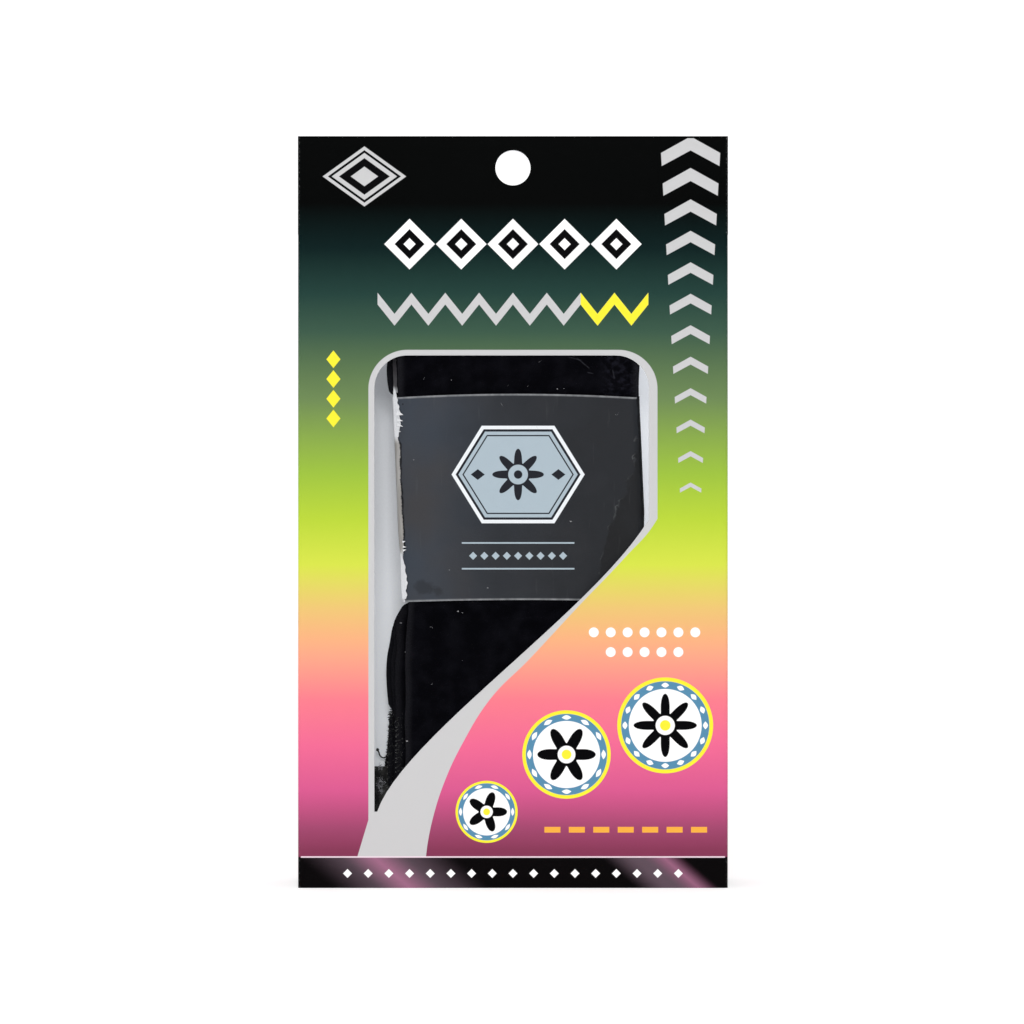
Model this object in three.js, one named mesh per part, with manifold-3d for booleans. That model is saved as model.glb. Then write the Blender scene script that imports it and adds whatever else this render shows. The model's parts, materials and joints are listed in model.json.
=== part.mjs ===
// A velvet wig grip band, folded into five layers with a paper sleeve round them, in its
// hanging window carton. Millimetres, +Z up, the front facing -Y, the origin under the
// middle of the carton's base.
import * as THREE from 'three';
import * as BufferGeometryUtils from 'three/addons/utils/BufferGeometryUtils.js';
import Module from 'manifold-3d';

const wasm = await Module();
wasm.setup();

// The band, printed on its pack as 5 cm by 55 cm
const BAND_LENGTH = 550;
const BAND_WIDTH = 50;
const BAND_THICKNESS = 2.4;
const BAND_EDGE_BEVEL = 0.6;
const BAND_END_HEIGHT = 17.2; // the last layer's free end, above the lowest fold

// The fastener tabs at the band's two free ends
const TAB_HEIGHT = 23;
const TAB_THICKNESS = 0.9;
const TAB_EDGE_BEVEL = 0.2;
const TAB_ROOM = 0.35; // each side of a tab between two layers
const HOOK_FOOT_HEIGHT = 0.9; // the hook tab's lower edge, above the lowest fold
const HOOK_SHIFT = -2.6; // the hook tab is sewn on askew, to the left of the last layer

// The paper sleeve that cinches the layers
const SLEEVE_HEIGHT = 44;
const SLEEVE_PAPER = 0.4;
const SLEEVE_CORNER = 1.6;
const SLEEVE_LAP = 12;
const SLEEVE_PLACE = 0.722; // its middle, as a share of the folded height
const CINCH_GAP = 0.4; // between two layers inside the sleeve
const CINCH_REACH = 7.2; // height over which the layers swell to their loose depth

// The carton
const BOARD = 0.5;
const CARTON_CORNER = 0.8;
const SIDE_ROOM = 20.25; // beside the folded band, left and right
const HEADROOM = 25.2; // above the folded band
const HEADER_HEIGHT = 20;
const HANG_HOLE_DIAMETER = 7.5;
const HANG_HOLE_DROP = 6.8; // from the header's top edge to the hole's centre

// The window in the front panel
const WINDOW_LEFT_MARGIN = 16.25;
const WINDOW_RIGHT_MARGIN = 16.85;
const WINDOW_COVER = 1; // how far the panel covers the upper folds
const WINDOW_CORNER = 7;
const WINDOW_POINT_HEIGHT = 16.2;
const WINDOW_POINT_FLAT = 0.6;

const CLEARANCE = 0.3; // between pieces that touch

// How each layer lies, front to back. Lean is the place of its middle, left or right of the
// carton's, as a share of the band's width, at the named heights.
const LAYERS = [
  { name: 'front', top: 0.014, flare: 0.04, notch: 0.04, foot: 0.04 },
  { name: 'second', top: -0.044, flare: -0.006, notch: 0, foot: 0 },
  { name: 'third', top: 0.045, flare: -0.026, notch: -0.012, foot: -0.016 },
  { name: 'fourth', top: 0.012, flare: -0.05, notch: -0.038, foot: -0.044 },
  { name: 'last', top: 0.02, flare: -0.044, notch: -0.036, foot: -0.072 },
];
// Inside the sleeve all layers lie together, leaning to the right on the way down.
const SLEEVE_LEAN = { top: 0.014, foot: 0.053 };
// The heights that the table names, as shares of the straight run between two folds
const HEIGHTS = { foot: 0.112, notch: 0.306, flare: 0.392 };
// The window's slanting edge, as shares of the window's width and height
const WINDOW_CURVE = {
  shoulder: { across: 1, up: 0.64 },
  upperPull: { across: 0.8, up: 0.441 },
  lowerPull: { across: 0.096, up: 0.158 },
};

const STEPS_PER_LAYER = 26;
const STEPS_PER_FOLD = 6;
const ARC_STEPS = 8;

// What follows from those sizes
const layerGap = TAB_THICKNESS + 2 * TAB_ROOM;
const pitch = BAND_THICKNESS + layerGap;
const looseDepth = LAYERS.length * BAND_THICKNESS + (LAYERS.length - 1) * layerGap;
const cinchedDepth = LAYERS.length * BAND_THICKNESS + (LAYERS.length - 2) * CINCH_GAP + layerGap;
const foldReach = (pitch + BAND_THICKNESS) / 2; // from a straight run to its fold's far side
const foldLength = (Math.PI * pitch) / 2;
const foldsLength = (LAYERS.length - 1) * foldLength;
const lastShortfall = BAND_END_HEIGHT - foldReach;
const run = (BAND_LENGTH - foldsLength - foldReach + lastShortfall) / LAYERS.length;
const bundleHeight = run + 2 * foldReach;

const bundleFoot = BOARD + CLEARANCE;
const runFoot = bundleFoot + foldReach;
const runTop = runFoot + run;
const bundleTop = bundleFoot + bundleHeight;
const sleeveMiddle = bundleFoot + SLEEVE_PLACE * bundleHeight;
const sleeveFoot = sleeveMiddle - SLEEVE_HEIGHT / 2;
const sleeveTop = sleeveMiddle + SLEEVE_HEIGHT / 2;

const cartonDepth = looseDepth + 2 * (CLEARANCE + BOARD);
const cartonWidth = BAND_WIDTH + 2 * (SIDE_ROOM + BOARD);
const bodyHeight = bundleTop + HEADROOM + BOARD;
const cartonHeight = bodyHeight + HEADER_HEIGHT;

const smooth = (t) => THREE.MathUtils.smoothstep(t, 0, 1);
const easeOut = (t) => Math.sin((Math.PI / 2) * THREE.MathUtils.clamp(t, 0, 1));
const mix = (a, b, t) => a + (b - a) * t;

// Where layer number k lies, front to back, at a height
function depthAt(k, height) {
  const loose = -looseDepth / 2 + BAND_THICKNESS / 2 + k * pitch;
  const tabRoom = k === 0 ? 0 : layerGap - CINCH_GAP;
  const cinched = -cinchedDepth / 2 + BAND_THICKNESS / 2 + k * (BAND_THICKNESS + CINCH_GAP) + tabRoom;
  const beyond = Math.abs(height - sleeveMiddle) - SLEEVE_HEIGHT / 2 - CLEARANCE;
  return mix(cinched, loose, smooth(beyond / CINCH_REACH));
}

// Where the middle of the layers lies inside the sleeve, left or right, at a height
function sleeveLeanAt(height) {
  const up = (height - sleeveFoot) / SLEEVE_HEIGHT;
  return BAND_WIDTH * mix(SLEEVE_LEAN.foot, SLEEVE_LEAN.top, up);
}

// Where the middle of layer number k lies, left or right, at a height
function leanAt(k, height) {
  const layer = LAYERS[k];
  const edgeTop = sleeveTop + CLEARANCE;
  const edgeFoot = sleeveFoot - CLEARANCE;
  if (height > edgeTop) {
    const up = (height - edgeTop) / (runTop - edgeTop);
    return mix(sleeveLeanAt(edgeTop), BAND_WIDTH * layer.top, easeOut(up));
  }
  if (height > edgeFoot) {
    return sleeveLeanAt(height);
  }
  const flareHeight = Math.min(runFoot + HEIGHTS.flare * run, edgeFoot - CLEARANCE);
  const notchHeight = Math.min(runFoot + HEIGHTS.notch * run, flareHeight - CLEARANCE);
  const footHeight = runFoot + HEIGHTS.foot * run;
  if (height > flareHeight) {
    const down = (edgeFoot - height) / (edgeFoot - flareHeight);
    return mix(sleeveLeanAt(edgeFoot), BAND_WIDTH * layer.flare, easeOut(down));
  }
  if (height > notchHeight) {
    const up = (height - notchHeight) / (flareHeight - notchHeight);
    return BAND_WIDTH * mix(layer.notch, layer.flare, smooth(up));
  }
  const up = (height - footHeight) / (notchHeight - footHeight);
  return BAND_WIDTH * mix(layer.foot, layer.notch, smooth(up));
}

// Evenly spaced heights from one to another, with one more at each mouth of the sleeve between
function stationHeights(from, to, steps) {
  const step = (to - from) / steps;
  const mouths = [sleeveFoot - CLEARANCE, sleeveTop + CLEARANCE]
    .filter((mouth) => (mouth - from) * (mouth - to) < 0);
  const heights = [from];
  for (let i = 1; i < steps; i += 1) {
    const height = from + i * step;
    if (mouths.every((mouth) => Math.abs(mouth - height) > Math.abs(step) / 3)) {
      heights.push(height);
    }
  }
  return [...heights, ...mouths, to].sort((a, b) => (a - b) * Math.sign(step));
}

// Stations up or down one layer, each with its point and the band's direction there
function layerStations(k, from, to, steps) {
  const step = (to - from) / steps;
  return stationHeights(from, to, steps).map((height) => {
    const slope = (depthAt(k, height + step / 4) - depthAt(k, height - step / 4)) / (step / 2);
    const direction = new THREE.Vector2(slope, 1).normalize().multiplyScalar(Math.sign(step));
    return { x: leanAt(k, height), y: depthAt(k, height), z: height, direction };
  });
}

// Stations round the fold from layer k to the one behind it, at the top or the bottom
function foldStations(k, atTop) {
  const height = atTop ? runTop : runFoot;
  const side = atTop ? 1 : -1;
  const front = depthAt(k, height);
  const back = depthAt(k + 1, height);
  const radius = (back - front) / 2;
  const stations = [];
  for (let i = 1; i < STEPS_PER_FOLD; i += 1) {
    const angle = (Math.PI * i) / STEPS_PER_FOLD;
    const share = i / STEPS_PER_FOLD;
    stations.push({
      x: mix(leanAt(k, height), leanAt(k + 1, height), smooth(share)),
      y: (front + back) / 2 - radius * Math.cos(angle),
      z: height + side * radius * Math.sin(angle),
      direction: new THREE.Vector2(Math.sin(angle), side * Math.cos(angle)),
    });
  }
  return stations;
}

// A strip of one width and thickness through its stations, with bevelled long edges. Offset
// moves it to the side that the band's own direction has on its left.
function strip({ stations, width, thickness, bevel, offset = 0 }) {
  const across = width / 2;
  const half = thickness / 2;
  const section = [
    [bevel - across, -half], [across - bevel, -half], [across, bevel - half], [across, half - bevel],
    [across - bevel, half], [bevel - across, half], [-across, half - bevel], [-across, bevel - half],
  ];
  const positions = [];
  for (const { x, y, z, direction } of stations) {
    for (const [u, v] of section) {
      const out = v + offset;
      positions.push(x + u, y - direction.y * out, z + direction.x * out);
    }
  }
  const count = section.length;
  const triangles = [];
  for (let s = 0; s + 1 < stations.length; s += 1) {
    for (let i = 0; i < count; i += 1) {
      const a = s * count + i;
      const b = s * count + ((i + 1) % count);
      triangles.push(a, b, b + count, a, b + count, a + count);
    }
  }
  const end = (stations.length - 1) * count;
  for (let i = 1; i + 1 < count; i += 1) {
    triangles.push(0, i + 1, i, end, end + i, end + i + 1);
  }
  const geometry = new THREE.BufferGeometry();
  geometry.setAttribute('position', new THREE.Float32BufferAttribute(positions, 3));
  geometry.setIndex(triangles);
  return facingOut(geometry);
}

// The same mesh with its faces turned round where they pointed inwards
function facingOut(geometry) {
  const position = geometry.getAttribute('position');
  const index = geometry.getIndex();
  const corner = (i) => new THREE.Vector3().fromBufferAttribute(position, index.getX(i));
  let volume = 0;
  for (let i = 0; i < index.count; i += 3) {
    volume += corner(i).dot(corner(i + 1).cross(corner(i + 2)));
  }
  if (volume < 0) {
    for (let i = 0; i < index.count; i += 3) {
      const kept = index.getX(i + 1);
      index.setX(i + 1, index.getX(i + 2));
      index.setX(i + 2, kept);
    }
  }
  return geometry;
}

// Closed geometry to a manifold solid, and back
function toSolid(geometry) {
  const bare = geometry.clone();
  for (const name of ['normal', 'uv']) {
    bare.deleteAttribute(name);
  }
  const merged = BufferGeometryUtils.mergeVertices(bare, 1e-4);
  return new wasm.Manifold(new wasm.Mesh({
    numProp: 3,
    vertProperties: new Float32Array(merged.getAttribute('position').array),
    triVerts: new Uint32Array(merged.getIndex().array),
  }));
}

function toGeometry(solid) {
  const mesh = solid.getMesh();
  const geometry = new THREE.BufferGeometry();
  geometry.setAttribute('position', new THREE.Float32BufferAttribute(mesh.vertProperties, 3));
  geometry.setIndex(Array.from(mesh.triVerts));
  return geometry;
}

// A rectangle about the origin with round corners
function roundRectangle(width, height, radius) {
  const x = width / 2;
  const y = height / 2;
  const shape = new THREE.Shape();
  shape.moveTo(radius - x, -y);
  shape.lineTo(x - radius, -y);
  shape.absarc(x - radius, radius - y, radius, -Math.PI / 2, 0);
  shape.lineTo(x, y - radius);
  shape.absarc(x - radius, y - radius, radius, 0, Math.PI / 2);
  shape.lineTo(radius - x, y);
  shape.absarc(radius - x, y - radius, radius, Math.PI / 2, Math.PI);
  shape.lineTo(-x, radius - y);
  shape.absarc(radius - x, radius - y, radius, Math.PI, 1.5 * Math.PI);
  return shape;
}

// An upright prism over a plan in X and Y
function upright(shape, foot, height) {
  const geometry = new THREE.ExtrudeGeometry(shape, {
    depth: height, bevelEnabled: false, curveSegments: ARC_STEPS,
  });
  return geometry.translate(0, 0, foot);
}

// A prism over an outline in X and Z that runs from one depth back to another
function throughPanel(shape, front, back, curveSegments) {
  const geometry = new THREE.ExtrudeGeometry(shape, {
    depth: back - front, bevelEnabled: false, curveSegments,
  });
  return geometry.rotateX(Math.PI / 2).translate(0, back, 0);
}

function velvetBand() {
  const stations = layerStations(0, bundleTop, runFoot, STEPS_PER_LAYER);
  for (let k = 1; k < LAYERS.length; k += 1) {
    const upward = k % 2 === 1;
    const last = k === LAYERS.length - 1;
    stations.push(...foldStations(k - 1, !upward));
    const from = upward ? runFoot : runTop;
    const far = upward ? runTop : runFoot;
    const to = last ? bundleFoot + BAND_END_HEIGHT : far;
    stations.push(...layerStations(k, from, to, STEPS_PER_LAYER));
  }
  return strip({
    stations, width: BAND_WIDTH, thickness: BAND_THICKNESS, bevel: BAND_EDGE_BEVEL,
  });
}

// A tab lies along a layer, a clearance off the face on the named side.
function fastenerTab(k, from, to, side, shift = 0) {
  const geometry = strip({
    stations: layerStations(k, from, to, ARC_STEPS),
    width: BAND_WIDTH,
    thickness: TAB_THICKNESS,
    bevel: TAB_EDGE_BEVEL,
    offset: side * (BAND_THICKNESS / 2 + CLEARANCE + TAB_THICKNESS / 2),
  });
  return geometry.translate(shift, 0, 0);
}

// On the back of the front layer's upper end, behind the window's top edge
function loopTab() {
  return fastenerTab(0, bundleTop, bundleTop - TAB_HEIGHT, 1);
}

// On the front of the last layer's lower end, standing out below it as a tongue
function hookTab() {
  const foot = bundleFoot + HOOK_FOOT_HEIGHT;
  return fastenerTab(LAYERS.length - 1, foot + TAB_HEIGHT, foot, -1, HOOK_SHIFT);
}

function paperSleeve() {
  const innerWidth = BAND_WIDTH + 2 * CLEARANCE;
  const innerDepth = cinchedDepth + 2 * CLEARANCE;
  const wall = 2 * SLEEVE_PAPER;
  const outer = roundRectangle(innerWidth + wall, innerDepth + wall, SLEEVE_CORNER);
  outer.holes.push(roundRectangle(innerWidth, innerDepth, SLEEVE_CORNER - SLEEVE_PAPER));
  const loop = toSolid(upright(outer, sleeveFoot, SLEEVE_HEIGHT));

  // The lapped end of the paper, glued on outside at the back
  const back = innerDepth / 2 + SLEEVE_PAPER;
  const lap = new THREE.BoxGeometry(SLEEVE_LAP, wall, SLEEVE_HEIGHT);
  lap.translate(0, back, sleeveMiddle);
  const solid = loop.add(toSolid(lap));

  // The sleeve leans with the layers that it holds.
  const slope = (sleeveLeanAt(sleeveTop) - sleeveLeanAt(sleeveFoot)) / SLEEVE_HEIGHT;
  const shear = new THREE.Matrix4().makeShear(0, 0, 0, 0, slope, 0);
  const shift = sleeveLeanAt(sleeveMiddle) - slope * sleeveMiddle;
  return toGeometry(solid).applyMatrix4(shear).translate(shift, 0, 0);
}

// The window: straight sides, two round upper corners and a slanting edge that curves from
// the right side's shoulder down to a point at the left
function windowOutline() {
  const left = WINDOW_LEFT_MARGIN - cartonWidth / 2;
  const right = cartonWidth / 2 - WINDOW_RIGHT_MARGIN;
  const foot = WINDOW_POINT_HEIGHT;
  const top = bundleTop - WINDOW_COVER;
  const at = ({ across, up }) => [mix(left, right, across), mix(foot, top, up)];
  const radius = WINDOW_CORNER;
  const shape = new THREE.Shape();
  shape.moveTo(left, top - radius);
  shape.lineTo(left, foot);
  shape.lineTo(left + WINDOW_POINT_FLAT, foot);
  shape.bezierCurveTo(...at(WINDOW_CURVE.lowerPull), ...at(WINDOW_CURVE.upperPull),
    ...at(WINDOW_CURVE.shoulder));
  shape.lineTo(right, top - radius);
  shape.absarc(right - radius, top - radius, radius, 0, Math.PI / 2);
  shape.lineTo(left + radius, top);
  shape.absarc(left + radius, top - radius, radius, Math.PI / 2, Math.PI);
  return shape;
}

// The header's section in Y and Z: the front panel's board runs on above the closure, over
// the top and down behind itself
function headerSection() {
  const front = -cartonDepth / 2;
  const backPly = front + BOARD + CLEARANCE;
  const back = backPly + BOARD;
  const fold = (back - front) / 2;
  const shape = new THREE.Shape();
  shape.moveTo(front, bodyHeight - 2 * BOARD);
  shape.lineTo(front + BOARD, bodyHeight - 2 * BOARD);
  shape.lineTo(front + BOARD, cartonHeight - BOARD);
  shape.lineTo(backPly, cartonHeight - BOARD);
  shape.lineTo(backPly, bodyHeight + CLEARANCE);
  shape.lineTo(back, bodyHeight + CLEARANCE);
  shape.lineTo(back, cartonHeight - fold);
  shape.absarc(front + fold, cartonHeight - fold, fold, 0, Math.PI);
  return shape;
}

function carton() {
  const inner = 2 * BOARD;
  const plan = roundRectangle(cartonWidth, cartonDepth, CARTON_CORNER);
  plan.holes.push(roundRectangle(cartonWidth - inner, cartonDepth - inner, CARTON_CORNER - BOARD));
  const end = roundRectangle(cartonWidth - BOARD, cartonDepth - BOARD, CARTON_CORNER - BOARD / 2);
  const walls = toSolid(upright(plan, 0, bodyHeight));
  const base = toSolid(upright(end, 0, BOARD));
  const closure = toSolid(upright(end, bodyHeight - BOARD, BOARD));

  // The section's own plane is turned upright and run across the carton's width.
  const header = new THREE.ExtrudeGeometry(headerSection(), {
    depth: cartonWidth, bevelEnabled: false, curveSegments: ARC_STEPS,
  });
  header.rotateX(Math.PI / 2).rotateZ(Math.PI / 2).translate(-cartonWidth / 2, 0, 0);

  const front = -cartonDepth / 2;
  const windowCut = throughPanel(windowOutline(), front - BOARD, front + 2 * BOARD, 3 * ARC_STEPS);
  const holeOutline = new THREE.Shape();
  holeOutline.absarc(0, cartonHeight - HANG_HOLE_DROP, HANG_HOLE_DIAMETER / 2, 0, 2 * Math.PI);
  const holeCut = throughPanel(holeOutline, front - BOARD, front + 4 * BOARD, 4 * ARC_STEPS);

  return toGeometry(walls.add(base).add(closure).add(toSolid(header))
    .subtract(toSolid(windowCut)).subtract(toSolid(holeCut)));
}

const finishes = {
  velvet: new THREE.MeshStandardMaterial({ color: 0x0d0d10, roughness: 0.95, metalness: 0 }),
  hook: new THREE.MeshStandardMaterial({ color: 0x2a2724, roughness: 0.9, metalness: 0 }),
  loop: new THREE.MeshStandardMaterial({ color: 0x151517, roughness: 0.95, metalness: 0 }),
  paper: new THREE.MeshStandardMaterial({ color: 0x404349, roughness: 0.55, metalness: 0 }),
  board: new THREE.MeshStandardMaterial({ color: 0xc2bf5a, roughness: 0.45, metalness: 0 }),
};

const PIECES = [
  { name: 'carton', geometry: carton(), material: finishes.board },
  { name: 'velvet_band', geometry: velvetBand(), material: finishes.velvet },
  { name: 'hook_tab', geometry: hookTab(), material: finishes.hook },
  { name: 'loop_tab', geometry: loopTab(), material: finishes.loop },
  { name: 'paper_sleeve', geometry: paperSleeve(), material: finishes.paper },
];

const object = new THREE.Group();
for (const { name, geometry, material } of PIECES) {
  geometry.computeVertexNormals();
  const mesh = new THREE.Mesh(geometry, material);
  mesh.name = name;
  object.add(mesh);
}

export default object;
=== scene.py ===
"""A black velvet wig grip band, folded up in its paper sleeve and standing in its window carton.

Blender 4.5. The front faces -Y, and +Z is up. Everything is in metres, apart from the sizes of the
finishes and where millimetres are named. The carton keeps its construction solid and gets a printed
finish. The band, its fastener tabs and the sleeve are modelled here along the same folds as the
solids that they stand for.
"""

import json
import logging
import math
import random
from dataclasses import dataclass
from enum import Enum
from typing import Callable, ClassVar

import bpy
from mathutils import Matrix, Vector, noise

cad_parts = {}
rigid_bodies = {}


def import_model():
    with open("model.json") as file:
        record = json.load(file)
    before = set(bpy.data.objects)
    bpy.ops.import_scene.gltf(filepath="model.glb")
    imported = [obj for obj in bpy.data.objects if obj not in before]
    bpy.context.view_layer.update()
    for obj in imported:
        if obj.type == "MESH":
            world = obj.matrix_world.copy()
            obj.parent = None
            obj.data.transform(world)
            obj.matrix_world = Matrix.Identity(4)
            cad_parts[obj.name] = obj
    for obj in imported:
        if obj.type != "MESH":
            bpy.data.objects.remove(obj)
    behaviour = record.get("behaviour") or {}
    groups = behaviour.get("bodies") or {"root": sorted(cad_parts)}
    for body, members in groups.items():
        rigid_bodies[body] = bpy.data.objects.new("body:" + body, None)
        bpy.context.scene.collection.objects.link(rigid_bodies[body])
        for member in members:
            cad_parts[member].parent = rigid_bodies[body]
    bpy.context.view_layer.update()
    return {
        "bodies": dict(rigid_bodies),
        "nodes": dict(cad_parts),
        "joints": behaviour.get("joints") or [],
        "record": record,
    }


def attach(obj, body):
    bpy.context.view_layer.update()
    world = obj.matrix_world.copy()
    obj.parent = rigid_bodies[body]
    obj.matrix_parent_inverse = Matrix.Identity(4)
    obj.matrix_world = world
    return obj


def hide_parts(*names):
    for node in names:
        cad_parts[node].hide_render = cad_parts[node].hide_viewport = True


LOG = logging.getLogger("grip_band")
MM = 0.001
BODY = "root"
SEED = 5507

Colour = tuple[float, float, float]
Rows = tuple[tuple[float, ...], ...]
Material = bpy.types.Material
NodeTree = bpy.types.NodeTree
Object = bpy.types.Object
Socket = bpy.types.NodeSocket


class Coordinates(Enum):
    """The coordinates that a finish lies on, by Blender's names."""

    OBJECT = "Object"
    UV = "UV"


class Face(Enum):
    """The face of a layer that a tab is sewn to, as its sign along the depth."""

    FRONT = -1.0
    BACK = 1.0


class Finish(Enum):
    """The finishes that the pieces and the floor wear."""

    VELVET = "velvet"
    FUZZ = "fuzz"
    THREAD = "thread"
    LINT = "lint"
    HOOKS = "hooks"
    LOOPS = "loops"
    SLEEVE = "sleeve"
    TORN_PAPER = "torn paper"
    BOARD = "board"
    FLOOR = "floor"


Finishes = dict[Finish, Material]


def mix(a: float, b: float, share: float) -> float:
    """Returns the value a share of the way from a to b."""
    return a + (b - a) * share


def smooth(share: float) -> float:
    """Returns a share eased in and out, held to 0 and 1 outside them."""
    held = min(max(share, 0.0), 1.0)
    return held * held * (3.0 - 2.0 * held)


def ease_out(share: float) -> float:
    """Returns a share that starts fast and slows down, held to 0 and 1 outside them."""
    return math.sin(math.pi / 2 * min(max(share, 0.0), 1.0))


def srgb(red: int, green: int, blue: int) -> Colour:
    """Turns a colour as it is seen on a screen into scene-linear values.

    Args:
        red: The red part, 0 to 255.
        green: The green part, 0 to 255.
        blue: The blue part, 0 to 255.

    Returns:
        The three linear values.
    """
    shares = (part / 255.0 for part in (red, green, blue))
    return tuple(s / 12.92 if s <= 0.04045 else ((s + 0.055) / 1.055) ** 2.4 for s in shares)


def wander(point: Vector, size: float, seed: float = 0.0) -> float:
    """Reads smooth noise.

    Args:
        point: Where to read it, in metres.
        size: The distance over which it changes, in metres.
        seed: A shift that gives another pattern.

    Returns:
        A value from about -1 to 1.
    """
    return noise.noise(point / size + Vector((seed, seed * 1.7, seed * 2.3)))


def select_only(obj: Object) -> None:
    """Deselects all and makes one object the selected, active one.

    Args:
        obj: The object.
    """
    bpy.ops.object.select_all(action="DESELECT")
    obj.select_set(True)
    bpy.context.view_layer.objects.active = obj


def apply_modifier(obj: Object, kind: str, **settings: object) -> None:
    """Adds a modifier, sets it and applies it.

    Args:
        obj: The object that it shapes.
        kind: Blender's name for the modifier.
        settings: Its settings by name.
    """
    select_only(obj)
    modifier = obj.modifiers.new(kind.lower(), kind)
    for name, value in settings.items():
        setattr(modifier, name, value)
    bpy.ops.object.modifier_apply(modifier=modifier.name)


def sheet(name: str, across: int, along: int, place: Callable[[float, float], Vector],
          thickness: float) -> Object:
    """Models a sheet from a flat grid whose points are laid where it goes.

    Args:
        name: The piece's name.
        across: Steps over its width.
        along: Steps over its length.
        place: Gives the point for a share of the width and a share of the length.
        thickness: Its thickness, half of it on either side of the points.

    Returns:
        The sheet, with a UV map of the flat grid.
    """
    bpy.ops.object.select_all(action="DESELECT")
    bpy.ops.mesh.primitive_grid_add(x_subdivisions=across, y_subdivisions=along, size=1.0)
    obj = bpy.context.active_object
    obj.name = name
    for vertex in obj.data.vertices:
        vertex.co = place(vertex.co.x + 0.5, vertex.co.y + 0.5)
    apply_modifier(obj, "SOLIDIFY", thickness=thickness, offset=0.0)
    return obj


def round_edges(obj: Object, width: float, **settings: object) -> None:
    """Bevels a sheet's sharp edges and shades it smooth.

    Args:
        obj: The sheet.
        width: How wide the bevel is.
        settings: The bevel's other settings by name.
    """
    apply_modifier(obj, "BEVEL", width=width, limit_method="ANGLE", angle_limit=math.radians(50), **settings)
    select_only(obj)
    bpy.ops.object.shade_smooth()


def mesh_piece(name: str, points: list[Vector], faces: list[tuple[int, ...]]) -> Object:
    """Makes a piece of many small joined parts from arrays.

    Args:
        name: The piece's name.
        points: All its corners.
        faces: The corners of each face.

    Returns:
        The piece.
    """
    mesh = bpy.data.meshes.new(name)
    mesh.from_pydata(points, [], faces)
    mesh.validate()
    obj = bpy.data.objects.new(name, mesh)
    bpy.context.scene.collection.objects.link(obj)
    return obj


class Strands:
    """Collects hair-thin tapered fibres for one joined mesh."""

    def __init__(self) -> None:
        """Starts with no fibre."""
        self.points: list[Vector] = []
        self.faces: list[tuple[int, ...]] = []

    def add(self, root: Vector, tip: Vector, width: float) -> None:
        """Adds one straight fibre, a slim closed spike with three sides.

        Args:
            root: Where it grows from.
            tip: Its free end.
            width: Its width at the root.
        """
        run = (tip - root).normalized()
        side = run.cross(Vector((0.31, 0.74, 0.6))).normalized() * width / 2
        turn = run.cross(side)
        first = len(self.points)
        self.points += [root + side, root - side / 2 + turn * 0.87, root - side / 2 - turn * 0.87, tip]
        self.faces += [(first, first + 2, first + 1)]
        self.faces += [(first, first + 1, first + 3), (first + 1, first + 2, first + 3)]
        self.faces += [(first + 2, first, first + 3)]

    def build(self, name: str) -> Object:
        """Returns all fibres as one piece of that name."""
        return mesh_piece(name, self.points, self.faces)


def thread(name: str, route: list[Vector], thickness: float) -> Object:
    """Models a round thread along a route and turns it into a mesh.

    Args:
        name: The piece's name.
        route: The points that it passes through.
        thickness: Its diameter.

    Returns:
        The thread.
    """
    curve = bpy.data.curves.new(name, "CURVE")
    curve.dimensions = "3D"
    curve.bevel_depth = thickness / 2
    curve.bevel_resolution = 1
    curve.use_fill_caps = True
    spline = curve.splines.new("POLY")
    spline.points.add(len(route) - 1)
    for point, place in zip(spline.points, route):
        point.co = (*place, 1.0)
    obj = bpy.data.objects.new(name, curve)
    bpy.context.scene.collection.objects.link(obj)
    select_only(obj)
    bpy.ops.object.convert(target="MESH")
    bpy.ops.object.shade_smooth()
    return obj


def join(pieces: list[Object], name: str) -> Object:
    """Joins pieces into one.

    Args:
        pieces: The pieces, of which the first stays.
        name: The joined piece's name.

    Returns:
        The joined piece.
    """
    select_only(pieces[0])
    for piece in pieces[1:]:
        piece.select_set(True)
    bpy.ops.object.join()
    pieces[0].name = name
    return pieces[0]


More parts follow.
